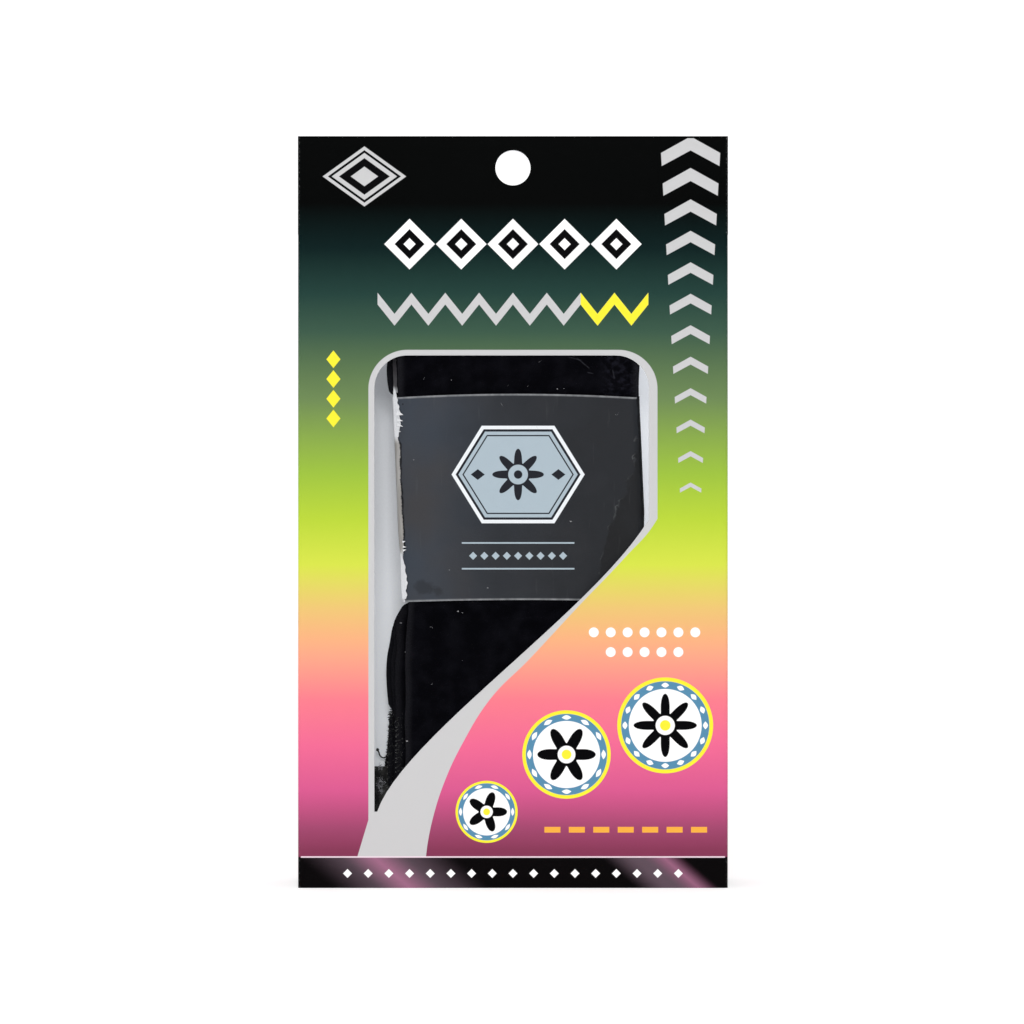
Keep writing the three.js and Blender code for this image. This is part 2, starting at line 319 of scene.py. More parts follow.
class Field:
    """A value that changes over a surface, built up from math nodes as an expression."""

    def __init__(self, tree: NodeTree, socket: Socket) -> None:
        """Wraps a node's output.

        Args:
            tree: The node tree that it is in.
            socket: The output.
        """
        self.tree = tree
        self.socket = socket

    def apply(self, operation: str, *others: "Field | float") -> "Field":
        """Adds a math node with this value as its first input.

        Args:
            operation: The node's operation.
            others: Its other inputs.

        Returns:
            The node's value.
        """
        node = self.tree.nodes.new("ShaderNodeMath")
        node.operation = operation
        for entry, value in zip(node.inputs, (self, *others)):
            if isinstance(value, Field):
                self.tree.links.new(value.socket, entry)
            else:
                entry.default_value = value
        return Field(self.tree, node.outputs[0])

    def __add__(self, other: "Field | float") -> "Field":
        """Returns the sum."""
        return self.apply("ADD", other)

    def __sub__(self, other: "Field | float") -> "Field":
        """Returns the difference."""
        return self.apply("SUBTRACT", other)

    def __mul__(self, other: "Field | float") -> "Field":
        """Returns the product."""
        return self.apply("MULTIPLY", other)

    def __neg__(self) -> "Field":
        """Returns the opposite."""
        return self.apply("MULTIPLY", -1.0)

    def size(self) -> "Field":
        """Returns the value without its sign."""
        return self.apply("ABSOLUTE")

    def least(self, other: "Field | float") -> "Field":
        """Returns the lesser of two values."""
        return self.apply("MINIMUM", other)

    def most(self, other: "Field | float") -> "Field":
        """Returns the greater of two values."""
        return self.apply("MAXIMUM", other)

    def held(self) -> "Field":
        """Returns the value held between 0 and 1."""
        return self.most(0.0).least(1.0)

    def repeat(self, pitch: float) -> "Field":
        """Returns the distance from the nearest multiple of a pitch."""
        return self.apply("PINGPONG", pitch / 2)

    def inside(self, softness: float = 0.06) -> "Field":
        """Turns a distance into a mask.

        Args:
            softness: The distance over which the mask changes, in the value's own unit.

        Returns:
            1 where the distance is below 0, and 0 where it is above.
        """
        node = self.tree.nodes.new("ShaderNodeMapRange")
        node.interpolation_type = "SMOOTHSTEP"
        node.inputs["From Min"].default_value = softness
        node.inputs["From Max"].default_value = -softness
        self.tree.links.new(self.socket, node.inputs["Value"])
        return Field(self.tree, node.outputs["Result"])


def length(x: Field, z: Field) -> Field:
    """Returns the length of the line from the origin to (x, z)."""
    return (x * x + z * z).apply("SQRT")


class Shader:
    """One material's node tree, with the steps that every finish here needs."""

    def __init__(self, name: str) -> None:
        """Starts a material with a Principled shader.

        Args:
            name: The material's name.
        """
        self.material = bpy.data.materials.new(name)
        self.material.use_nodes = True
        self.tree = self.material.node_tree
        self.surface = next(n for n in self.tree.nodes if n.type == "BSDF_PRINCIPLED")

    def constant(self, **values: object) -> None:
        """Sets sockets of the Principled shader.

        Args:
            values: The values, by socket name with underscores for spaces.
        """
        for name, value in values.items():
            self.surface.inputs[name.replace("_", " ")].default_value = value

    def place(self, source: Coordinates = Coordinates.OBJECT) -> Socket:
        """Returns the coordinates of that kind: in metres, or over the UV map."""
        return self.tree.nodes.new("ShaderNodeTexCoord").outputs[source.value]

    def scaled(self, socket: Socket, scale: tuple[float, float, float]) -> Socket:
        """Scales coordinates.

        Args:
            socket: The coordinates.
            scale: The factor along each axis.

        Returns:
            The scaled coordinates.
        """
        node = self.tree.nodes.new("ShaderNodeMapping")
        node.inputs["Scale"].default_value = scale
        self.tree.links.new(socket, node.inputs["Vector"])
        return node.outputs["Vector"]

    def axes(self, socket: Socket) -> tuple[Field, Field, Field]:
        """Splits a vector.

        Args:
            socket: The vector.

        Returns:
            Its three parts.
        """
        node = self.tree.nodes.new("ShaderNodeSeparateXYZ")
        self.tree.links.new(socket, node.inputs[0])
        return tuple(Field(self.tree, out) for out in node.outputs)

    def millimetres(self, socket: Socket) -> tuple[Field, Field, Field]:
        """Returns the three parts of a place in metres, turned into millimetres."""
        return tuple(axis * (1.0 / MM) for axis in self.axes(socket))

    def noise(self, socket: Socket, scale: float, detail: float = 2.0) -> Field:
        """Adds a noise texture.

        Args:
            socket: The coordinates.
            scale: How often it changes in one unit.
            detail: How much finer noise lies on it.

        Returns:
            The noise, from 0 to 1.
        """
        node = self.tree.nodes.new("ShaderNodeTexNoise")
        node.inputs["Scale"].default_value = scale
        node.inputs["Detail"].default_value = detail
        self.tree.links.new(socket, node.inputs["Vector"])
        return Field(self.tree, node.outputs["Fac"])

    def ramp(self, value: Field, stops: list[tuple[float, Colour]]) -> Socket:
        """Turns a value into a colour.

        Args:
            value: The value, from 0 to 1.
            stops: Rising places from 0 to 1, each with its colour.

        Returns:
            The colour.
        """
        node = self.tree.nodes.new("ShaderNodeValToRGB")
        elements = node.color_ramp.elements
        while len(elements) < len(stops):
            elements.new(1.0)
        for element, (place, colour) in zip(elements, stops):
            element.position = place
            element.color = (*colour, 1.0)
        self.tree.links.new(value.socket, node.inputs[0])
        return node.outputs["Color"]

    def paint(self, under: Socket | Colour, over: Socket | Colour, mask: Field) -> Socket:
        """Lays one colour over another.

        Args:
            under: The colour below.
            over: The colour on top.
            mask: Where the top colour shows, from 0 to 1.

        Returns:
            The mixed colour.
        """
        node = self.tree.nodes.new("ShaderNodeMix")
        node.data_type = "RGBA"
        self.tree.links.new(mask.socket, node.inputs["Factor"])
        for entry, colour in ((node.inputs[6], under), (node.inputs[7], over)):
            if isinstance(colour, tuple):
                entry.default_value = (*colour, 1.0)
            else:
                self.tree.links.new(colour, entry)
        return node.outputs[2]

    def prints(self, colour: Socket, *layers: tuple[Socket | Colour, Field]) -> Socket:
        """Lays several colours over one, in order.

        Args:
            colour: The colour below.
            layers: Each next colour and its mask.

        Returns:
            The mixed colour.
        """
        for over, mask in layers:
            colour = self.paint(colour, over, mask)
        return colour

    def glow(self, colour: Socket) -> None:
        """Links the emitted colour to a colour socket."""
        self.tree.links.new(colour, self.surface.inputs["Emission Color"])

    def group(self, tree: NodeTree, vector: Socket, **values: float) -> dict[str, Field]:
        """Places a shared node group.

        Args:
            tree: The group.
            vector: Its coordinates.
            values: Its other inputs by name.

        Returns:
            Its outputs by name.
        """
        node = self.tree.nodes.new("ShaderNodeGroup")
        node.node_tree = tree
        self.tree.links.new(vector, node.inputs["Vector"])
        for name, value in values.items():
            node.inputs[name].default_value = value
        return {out.name: Field(self.tree, out) for out in node.outputs}

    def relief(self, height: Field, distance: float, strength: float = 1.0) -> None:
        """Gives the surface a fine relief.

        Args:
            height: The relief, from 0 to 1.
            distance: How high 1 is, in metres.
            strength: How much of it shows.
        """
        node = self.tree.nodes.new("ShaderNodeBump")
        node.inputs["Distance"].default_value = distance
        node.inputs["Strength"].default_value = strength
        self.tree.links.new(height.socket, node.inputs["Height"])
        self.tree.links.new(node.outputs["Normal"], self.surface.inputs["Normal"])

    def colour(self, socket: Socket) -> None:
        """Links the base colour to a colour socket."""
        self.tree.links.new(socket, self.surface.inputs["Base Color"])

    def roughness(self, value: Field) -> None:
        """Links the roughness to a value."""
        self.tree.links.new(value.socket, self.surface.inputs["Roughness"])


def texture_group(name: str, outputs: dict[str, tuple[float, float]]) -> NodeTree:
    """Builds a shared group of noises over given coordinates.

    Args:
        name: The group's name.
        outputs: For each output, its fineness and detail beside the group's own Fineness.

    Returns:
        The group, with inputs Vector and Fineness.
    """
    tree = bpy.data.node_groups.new(name, "ShaderNodeTree")
    tree.interface.new_socket("Vector", in_out="INPUT", socket_type="NodeSocketVector")
    tree.interface.new_socket("Fineness", in_out="INPUT", socket_type="NodeSocketFloat")
    given = tree.nodes.new("NodeGroupInput")
    for output in outputs:
        tree.interface.new_socket(output, in_out="OUTPUT", socket_type="NodeSocketFloat")
    result = tree.nodes.new("NodeGroupOutput")
    for output, (fineness, detail) in outputs.items():
        texture = tree.nodes.new("ShaderNodeTexNoise")
        texture.inputs["Detail"].default_value = detail
        scale = Field(tree, given.outputs["Fineness"]) * fineness
        tree.links.new(given.outputs["Vector"], texture.inputs["Vector"])
        tree.links.new(scale.socket, texture.inputs["Scale"])
        tree.links.new(texture.outputs["Fac"], result.inputs[output])
    return tree


@dataclass(frozen=True)
class SharedTextures:
    """The noise groups that more than one finish uses."""

    pile: NodeTree
    pulp: NodeTree

    @classmethod
    def build(cls) -> "SharedTextures":
        """Builds both groups.

        Returns:
            The cloth pile with its brushed patches and the paper pulp with its mottle.
        """
        pile = texture_group("cloth_pile", {"Tufts": (1.0, 1.0), "Patches": (0.06, 3.0)})
        pulp = texture_group("paper_pulp", {"Fibres": (1.0, 4.0), "Mottle": (0.04, 2.0)})
        return cls(pile, pulp)


@dataclass(frozen=True)
class VelvetFinish:
    """Short, dense black pile that swallows light and greys where it is crushed.

    Places and sizes are in millimetres of the flat band.
    """

    deep: Colour = srgb(4, 4, 7)
    brushed: Colour = srgb(12, 12, 17)
    # Lighter long edges: partly the woven edge's thinner pile, partly a painted highlight where the edges
    # round over
    selvedge_and_highlight: Colour = srgb(34, 34, 38)
    scuff: Colour = srgb(48, 48, 54)
    crushed: Colour = srgb(21, 21, 28)
    tufts_per_mm: float = 4.0
    selvedge_width: float = 1.1
    selvedge_fade: float = 0.7
    ruffles_per_mm: float = 0.9
    corner_fade: float = 1.6
    scuff_fade: float = 0.25
    band_width: float = 50.0
    band_length: float = 550.0

    # The crushed corner by the front layer's free end: its place across and along and its half sizes
    CORNER: ClassVar[tuple[float, float, float, float]] = (46.6, 4.6, 3.0, 4.6)
    # Short scuffs by that end: each one's place across and along, its turn and its half length
    SCUFFS: ClassVar[Rows] = (
        (37.4, 1.6, 0.25, 1.5), (39.3, 2.5, 0.62, 1.6), (40.9, 4.4, 0.2, 0.6), (45.6, 4.6, 1.4, 0.9),
    )

    def worn(self, shader: Shader, body: Socket, flat: Socket) -> Socket:
        """Marks the pile near the front layer's free end: a crushed corner and a few scuffs.

        Args:
            shader: The material.
            body: The pile's colour.
            flat: The flat band's coordinates, in millimetres.

        Returns:
            The marked colour.
        """
        across, along, _ = shader.axes(flat)
        ruffle = shader.noise(flat, self.ruffles_per_mm)
        corner_across, corner_along, half_across, half_along = self.CORNER
        beside = (across - corner_across).size() - half_across
        corner = beside.most((along - corner_along).size() - half_along)
        ruffled = ((ruffle - 0.46) * 5.0).held()
        body = shader.paint(body, self.crushed, corner.inside(self.corner_fade) * ruffled)
        for scuff_across, scuff_along, turn, half in self.SCUFFS:
            u = across - scuff_across
            v = along - scuff_along
            run = u * math.cos(turn) + v * math.sin(turn)
            off = v * math.cos(turn) - u * math.sin(turn)
            mark = (run.size() - half).most(off.size() * 3.0 - 0.3)
            body = shader.paint(body, self.scuff, mark.inside(self.scuff_fade) * ruffle)
        return body

    def make(self, textures: SharedTextures) -> Material:
        """Makes the material.

        Args:
            textures: The shared noise groups.

        Returns:
            The material.
        """
        shader = Shader("velvet")
        flat = shader.scaled(shader.place(Coordinates.UV), (self.band_width, self.band_length, 1.0))
        across, _, _ = shader.axes(flat)
        pile = shader.group(textures.pile, flat, Fineness=self.tufts_per_mm)
        from_edge = across.least(-across + self.band_width)
        edge = (from_edge - self.selvedge_width).inside(self.selvedge_fade)
        tone = (pile["Patches"] - 0.42) * 3.2 + (pile["Tufts"] - 0.5) * 0.8
        body = shader.paint(self.deep, self.brushed, tone.held())
        body = self.worn(shader, body, flat)
        # The long edges are lightened: partly the woven edge, partly a painted highlight
        shader.colour(shader.paint(body, self.selvedge_and_highlight, edge * pile["Tufts"]))
        shader.roughness(pile["Tufts"] * 0.12 + 0.84)
        shader.constant(Sheen_Weight=0.015, Sheen_Roughness=0.3, Sheen_Tint=(0.62, 0.64, 0.8, 1.0),
                        Specular_IOR_Level=0.025)
        shader.relief(pile["Tufts"] + pile["Patches"] * 1.5, 0.12 * MM, 0.7)
        return shader.material


@dataclass(frozen=True)
class TapeFinish:
    """Woven fastener tape: a dull ground with rows of hooks or brushed loops."""

    name: str
    ground: Colour
    nap: Colour
    tufts_per_metre: float = 3200.0

    def make(self, textures: SharedTextures) -> Material:
        """Makes the material.

        Args:
            textures: The shared noise groups.

        Returns:
            The material.
        """
        shader = Shader(self.name)
        place = shader.place()
        pile = shader.group(textures.pile, place, Fineness=self.tufts_per_metre)
        tone = (pile["Tufts"] - 0.3) * 0.9 + (pile["Patches"] - 0.5) * 3.0
        shader.colour(shader.paint(self.ground, self.nap, tone.held()))
        shader.roughness(pile["Tufts"] * 0.2 + 0.7)
        shader.constant(Sheen_Weight=0.2, Sheen_Roughness=0.4, Specular_IOR_Level=0.25)
        shader.relief(pile["Tufts"], 0.15 * MM, 0.8)
        return shader.material


@dataclass(frozen=True)
class FibreFinish:
    """Fine loose fibres: pile fuzz, stitching thread and lint."""

    name: str
    dark: Colour
    light: Colour
    tufts_per_metre: float = 900.0

    def make(self, textures: SharedTextures) -> Material:
        """Makes the material.

        Args:
            textures: The shared noise groups.

        Returns:
            The material.
        """
        shader = Shader(self.name)
        place = shader.place()
        pile = shader.group(textures.pile, place, Fineness=self.tufts_per_metre)
        shader.colour(shader.paint(self.dark, self.light, pile["Tufts"]))
        shader.roughness(pile["Patches"] * 0.2 + 0.65)
        shader.constant(Sheen_Weight=0.25, Specular_IOR_Level=0.2)
        shader.relief(pile["Tufts"], 0.03 * MM)
        return shader.material


@dataclass(frozen=True)
class FloorFinish:
    """Plain white studio paper that glows a little behind the part."""

    tone: Colour = (0.85, 0.85, 0.85)
    near_glow: Colour = (0.12, 0.12, 0.12)
    far_glow: Colour = (1.0, 1.0, 1.0)
    glow_rise: float = 1.8
    glow_start: float = 1.5
    fibres_per_metre: float = 400.0
    mottle: float = 0.99

    def make(self, textures: SharedTextures) -> Material:
        """Makes the material.

        Args:
            textures: The shared noise groups.

        Returns:
            The material.
        """
        shader = Shader("studio_paper")
        place = shader.place()
        pulp = shader.group(textures.pulp, place, Fineness=self.fibres_per_metre)
        faint = tuple(part * self.mottle for part in self.tone)
        shader.colour(shader.paint(self.tone, faint, pulp["Mottle"]))
        _, y, _ = shader.axes(place)
        behind = (y * self.glow_rise + self.glow_start).held()
        shader.glow(shader.paint(self.near_glow, self.far_glow, behind))
        shader.constant(Roughness=0.9, Specular_IOR_Level=0.1, Emission_Strength=0.56)
        return shader.material


@dataclass(frozen=True)
class PaperGrain:
    """The noises that mottle, crease and wear the sleeve's paper."""

    fibres: Field
    mottle: Field
    blotch: Field
    jag: Field
    streak: Field

    @classmethod
    def read(cls, shader: Shader, place: Socket, textures: SharedTextures) -> "PaperGrain":
        """Adds the noises to a material.

        Args:
            shader: The material.
            place: Its coordinates, in metres.
            textures: The shared noise groups.

        Returns:
            The noises, each from 0 to 1.
        """
        pulp = shader.group(textures.pulp, place, Fineness=3000.0)
        blotch = shader.noise(place, 110.0, 3.0)
        jag = shader.noise(place, 520.0, 3.0)
        streak = shader.noise(shader.scaled(place, (900.0, 900.0, 120.0)), 1.0, 2.0)
        return cls(pulp["Fibres"], pulp["Mottle"], blotch, jag, streak)


@dataclass(frozen=True)
class SleeveFinish:
    """Satin dark grey paper with a plain hexagon label, worn white along its left fold.

    Places and sizes are in millimetres.
    """

    warm: Colour = srgb(58, 58, 61)
    cool: Colour = srgb(55, 61, 70)
    # Painted shade that darkens the paper towards its right side
    far_side: Colour = srgb(35, 37, 41)
    rubbed: Colour = srgb(84, 86, 88)
    # Painted shade on the dark side of the crumple; the smudges use the same colour
    crease: Colour = srgb(24, 24, 25)
    shadow: Colour = srgb(6, 6, 8)
    core: Colour = srgb(226, 227, 230)
    # Painted shade: the torn white core greyed along the middle of the left fold, where it lies in shadow
    worn: Colour = srgb(148, 145, 141)
    # Partly the paper's pale cut edge, partly a painted highlight along the top and bottom edges
    cut_edge_highlight: Colour = srgb(150, 152, 155)
    label: Colour = srgb(168, 183, 193)
    line: Colour = srgb(26, 28, 36)
    outer_line: Colour = srgb(232, 236, 240)
    label_place: tuple[float, float] = (1.1, 88.0)
    label_half: tuple[float, float] = (14.2, 10.4)
    label_slant: float = 0.62
    petals: float = 8.0
    petal_middle: float = 4.0
    petal_swing: float = 1.5
    gem_place: float = 8.6
    rules_middle: float = 70.65
    rules_apart: float = 5.5
    rules_half: float = 12.0
    rule_width: float = 0.32
    bead_pitch: float = 2.4
    bead_half: float = 0.85
    front_depth: float = -7.4
    edge_depth: float = -5.0
    crumple_place: float = 19.5
    crumple_height: float = 72.0
    crumple_slant: float = 0.34
    top: float = 104.8
    lean: float = 0.0443
    left_fold: float = -25.07
    right_fold: float = 26.4
    # The middle stretch of the left fold, greyed with painted shade and lined with painted shadow: its
    # middle height and half its length
    shaded_fold_middle: float = 83.4
    shaded_fold_half: float = 12.0

    # Each smudge: its place across and up and its size
    SMUDGES: ClassVar[Rows] = (
        (-19.2, 63.9, 1.3), (-16.2, 63.2, 0.7), (-23.5, 102.9, -0.1),
    )
    # The small pit: its place across and up and its radius
    PIT: ClassVar[tuple[float, float, float]] = (-23.5, 103.0, 0.16)

    def label_art(self, shader: Shader, colour: Socket, x: Field, z: Field) -> Socket:
        """Prints the label: a hexagon in two outlines round a ring of petals, over two rules.

        Args:
            shader: The material.
            colour: The paper's colour below it.
            x: The place across, in millimetres.
            z: The height, in millimetres.

        Returns:
            The colour with the label on it.
        """
        u = x - self.label_place[0]
        v = z - self.label_place[1]
        half_width, half_height = self.label_half
        slant = (u.size() + v.size() * self.label_slant - half_width) * 0.85
        hexagon = slant.most(v.size() - half_height)
        away = length(u, v)
        wave = (v.apply("ARCTAN2", u) * self.petals).apply("COSINE")
        petal = away - wave * self.petal_swing - self.petal_middle
        gems = (u.size() - self.gem_place).size() + v.size() * 1.3 - 1.5
        within = u.size() - self.rules_half
        level = (z - self.rules_middle).size()
        rules = (level - self.rules_apart / 2).size() - self.rule_width / 2
        bead = u.repeat(self.bead_pitch) + level - self.bead_half
        return shader.prints(
            colour,
            (self.outer_line, hexagon.inside()),
            (self.line, (hexagon + 0.75).inside()),
            (self.label, (hexagon + 1.25).inside()),
            (self.line, ((hexagon + 2.1).size() - 0.14).inside()),
            (self.line, petal.inside()),
            (self.label, (away - 2.1).inside()),
            (self.line, (away - 0.9).inside()),
            (self.line, gems.inside()),
            (self.label, rules.most(within).inside()),
            (self.label, bead.most(within + 1.0).inside()),
        )

    def paper(self, shader: Shader, x: Field, z: Field, cloud: Field, grain: PaperGrain) -> Socket:
        """Colours the paper: clouded, with painted shade to the right and on one side of a crumple, smudges,
        a painted shadow in a pit and rubs.

        Args:
            shader: The material.
            x: The place across, in millimetres.
            z: The height, in millimetres.
            cloud: A slow noise, from 0 to 1.
            grain: The paper's noises.

        Returns:
            The paper's colour.
        """
        near = ((x + 17.0) * 0.055).most(0.0).least(0.75)
        shade = near + ((x - 2.0) * 0.016).most(0.0) + (grain.mottle - 0.5) * 0.5
        fold = x - (z - self.crumple_height) * self.crumple_slant - self.crumple_place
        crumple = fold + (grain.blotch - 0.5) * 7.0 + (grain.jag - 0.5) * 3.5
        ridge = (crumple.size() - 0.14).inside(0.14) * (grain.jag - 0.5).most(0.0) * 3.0
        colour = shader.prints(
            shader.paint(self.warm, self.cool, ((cloud - 0.36) * 3.2).held()),
            # Painted shade, darker to the right
            (self.far_side, shade.held()),
            # Painted shade darkens one side of the crumple
            (self.crease, (-crumple).inside(0.6) * (grain.blotch * 0.9 + 0.2)),
            (self.rubbed, ridge.least(1.0)),
        )
        uneven = (grain.blotch - 0.5) * 3.0 + (grain.jag - 0.5) * 2.0
        for across, height, size in self.SMUDGES:
            smudge = length((x - across) * 0.7, z - height) - (uneven + size)
            colour = shader.paint(colour, self.crease, smudge.inside(0.5) * 0.4)
        across, height, radius = self.PIT
        pit = length(x - across, z - height) - radius
        return shader.prints(
            colour,
            (self.shadow, pit.inside(0.12) * 0.7),
            (self.rubbed, ((grain.streak - 0.66) * 1.2).most(0.0)),
        )

    def wear(self, shader: Shader, colour: Socket, place: Socket, grain: PaperGrain) -> Socket:
        """Wears the paper white and ragged at its left fold, and paints shadow in the groove by that fold
        and along the right fold.

        Args:
            shader: The material.
            colour: The printed paper's colour.
            place: The coordinates, in metres.
            grain: The paper's noises.

        Returns:
            The worn colour.
        """
        x, y, z = shader.millimetres(place)
        across = x - (-z + self.top) * self.lean
        near_front = (y - self.edge_depth).inside(0.4)
        frayed = (grain.blotch - 0.5) * 0.6 + (grain.jag - 0.5) * 0.7
        middle = ((z - self.shaded_fold_middle).size() - self.shaded_fold_half).inside(1.0)
        fold = across - self.left_fold - middle * 0.25
        groove = (fold - 0.26 - frayed).size() - 0.16
        depth = (grain.jag * 3.0 - 0.5).held()
        far_edge = (-across + self.right_fold + frayed * 0.8).inside(0.1)
        # Painted shade greys the torn core along the middle stretch of the fold
        torn = shader.paint(self.core, self.worn, middle * (grain.streak * 0.8 + 0.5).least(1.0))
        ragged = fold - frayed - (grain.fibres - 0.5) * 0.5 - 0.05
        return shader.prints(
            colour,
            (self.shadow, groove.inside(0.14) * middle * depth),
            (self.shadow, far_edge * near_front),
            (torn, ragged.inside(0.12) * near_front),
        )

    def make(self, textures: SharedTextures) -> Material:
        """Makes the material.

        Args:
            textures: The shared noise groups.

        Returns:
            The material.
        """
        shader = Shader("sleeve_paper")
        place = shader.place()
        x, y, z = shader.millimetres(place)
        _, up, _ = shader.axes(shader.place(Coordinates.UV))
        grain = PaperGrain.read(shader, place, textures)
        plain = self.paper(shader, x, z, shader.noise(place, 60.0), grain)
        # A light line along the top and bottom edges: partly the pale cut edge, partly a painted highlight
        cut = (up.least(-up + 1.0) - 0.008).inside(0.004)
        printed = shader.prints(
            plain,
            (self.label_art(shader, plain, x, z), (y - self.front_depth).inside(0.2)),
            (self.cut_edge_highlight, cut * (grain.streak * 0.8 + 0.2)),
        )
        shader.colour(self.wear(shader, printed, place, grain))
        shader.roughness(grain.fibres * 0.16 + 0.4)
        shader.constant(Specular_IOR_Level=0.11)
        shader.relief(grain.fibres + grain.blotch * 2.0, 0.03 * MM, 0.6)
        return shader.material


@dataclass(frozen=True)
class PulpFinish:
    """The white core of torn paper, greyed above face_foot by painted shade that darkens upwards."""

    white: Colour = srgb(232, 233, 236)
    shade: Colour = srgb(196, 198, 202)
    # Painted shade above face_foot: face_light at its foot, face higher up
    face: Colour = srgb(48, 46, 50)
    face_light: Colour = srgb(92, 91, 94)
    face_foot: float = 106.4
    fibres_per_metre: float = 5000.0

    def make(self, textures: SharedTextures) -> Material:
        """Makes the material.

        Args:
            textures: The shared noise groups.

        Returns:
            The material.
        """
        shader = Shader("torn_paper")
        place = shader.place()
        _, _, height = shader.millimetres(place)
        pulp = shader.group(textures.pulp, place, Fineness=self.fibres_per_metre)
        torn = shader.paint(self.white, self.shade, pulp["Fibres"])
        # Painted shade: the grey above face_foot darkens upwards
        grey = shader.paint(self.face_light, self.face, ((height - self.face_foot) * 0.25).held())
        shader.colour(shader.paint(torn, grey, (-height + self.face_foot).inside(0.7)))
        shader.roughness(pulp["Fibres"] * 0.1 + 0.85)
        shader.relief(pulp["Fibres"], 0.08 * MM, 0.9)
        return shader.material


@dataclass(frozen=True)
class BoardFinish:
    """Satin carton board: a printed fade outside with plain geometric ornament.

    The inside is bare white board with a painted glow: it emits a little light, more lower down and most at
    the right side.
    Places and sizes are in millimetres.
    """

    white: Colour = srgb(252, 252, 252)
    line: Colour = srgb(240, 220, 230)
    pale: Colour = srgb(200, 200, 201)
    yellow: Colour = srgb(246, 236, 60)
    orange: Colour = srgb(255, 176, 70)
    blue: Colour = srgb(88, 140, 172)
    ink: Colour = srgb(6, 6, 8)
    strip_dark: Colour = srgb(8, 6, 7)
    strip_haze: Colour = srgb(94, 78, 88)
    strip_mauve: Colour = srgb(176, 114, 146)
    core: Colour = srgb(243, 245, 248)
    core_shade: Colour = srgb(232, 234, 237)
    width: float = 91.5
    depth: float = 20.0
    height: float = 160.03
    fold: float = 0.8
    header: float = 20.0
    header_fold: float = 0.65
    strip_height: float = 6.6
    border_half: float = 30.75
    border_top: float = 114.5
    border_corner: float = 8.3
    sweep_top: float = 14.5
    sweep_slant: float = 0.3
    line_half: float = 0.14
    fibres_per_metre: float = 2500.0
    # The painted glow of the inner faces: the height below which it rises, and the place across beyond which
    # it brightens
    painted_glow_top: float = 103.0
    painted_glow_right: float = 20.0
    chevron_place: float = 37.8
    chevron_foot: float = 80.0
    chevron_pitch: float = 6.6
    chevron_base: float = 78.0
    chevron_rise: float = 82.0
    emblem_place: tuple[float, float] = (-31.6, 151.4)
    gem_height: float = 137.0
    gem_pitch: float = 11.0
    gems_half: float = 27.5
    zigzag_height: float = 123.2
    zigzag_pitch: float = 7.2
    zigzag_half: float = 28.8
    lozenge_place: tuple[float, float] = (-38.2, 112.5)
    lozenge_pitch: float = 4.2
    lozenges: int = 4
    dots_place: float = 28.0
    dot_pitch: float = 3.6
    dot_radius: float = 1.05
    dashes_place: tuple[float, float] = (24.0, 12.4)
    dash_pitch: float = 5.2
    dash_half: tuple[float, float] = (1.7, 0.6)
    dashes_half: float = 18.2
    strip_slant: float = 1.17
    bead_height: float = 3.1
    bead_pitch: float = 4.4
    bead_half: float = 0.95
    beads_half: float = 37.4

    FADE: ClassVar[list[tuple[float, Colour]]] = [
        (0.0, srgb(118, 52, 80)), (0.05, srgb(132, 58, 86)), (0.08, srgb(158, 72, 108)),
        (0.13, srgb(212, 90, 141)), (0.19, srgb(235, 106, 146)), (0.25, srgb(243, 124, 139)),
        (0.31, srgb(247, 164, 133)), (0.37, srgb(232, 192, 116)), (0.43, srgb(210, 222, 75)),
        (0.49, srgb(182, 209, 60)), (0.55, srgb(154, 189, 64)), (0.65, srgb(108, 134, 84)),
        (0.74, srgb(60, 88, 72)), (0.79, srgb(36, 64, 58)), (0.85, srgb(12, 32, 32)),
        (0.91, srgb(1, 2, 2)),
    ]
    # The lower edge of the pale band under the window's slant, as places across and up
    BAND_EDGE: ClassVar[Rows] = (
        (-19.4, 0.5), (-18.4, 8.0), (-17.0, 15.0), (-14.4, 23.0), (-10.6, 31.0), (-5.0, 40.0),
        (3.4, 48.6), (14.0, 60.0), (24.0, 70.5), (30.4, 78.0), (33.0, 84.0),
    )
    # Each slanting glow on the strip: its place, how far its haze is off it, and its reach
    STRIP_GLOWS: ClassVar[Rows] = ((-21.9, 0.5, 13.0), (39.6, -5.0, 6.5))
    # Each round flower: its place across and up, its radius and its petals
    FLOWERS: ClassVar[Rows] = (
        (32.4, 34.6, 10.2, 8), (11.4, 28.4, 9.4, 6), (-5.6, 16.2, 6.6, 5),
    )
    # Each row of dots: its height and half its length
    DOT_ROWS: ClassVar[Rows] = ((54.4, 12.6), (50.2, 9.0))

    def band_edge(self, shader: Shader, x: Field) -> Field:
        """Reads the lower edge of the pale band.

        Args:
            shader: The material.
            x: The place across, in millimetres.

        Returns:
            The edge's height over x, in millimetres.
        """
        reach = self.width / 2
        node = shader.tree.nodes.new("ShaderNodeFloatCurve")
        curve = node.mapping.curves[0]
        curve.points[0].location = (0.0, 0.0)
        curve.points[1].location = (1.0, 0.9)
        for across, up in self.BAND_EDGE:
            curve.points.new((across + reach) / self.width, up / self.height)
        node.mapping.update()
        shader.tree.links.new(((x + reach) * (1.0 / self.width)).socket, node.inputs["Value"])
        return Field(shader.tree, node.outputs["Value"]) * self.height

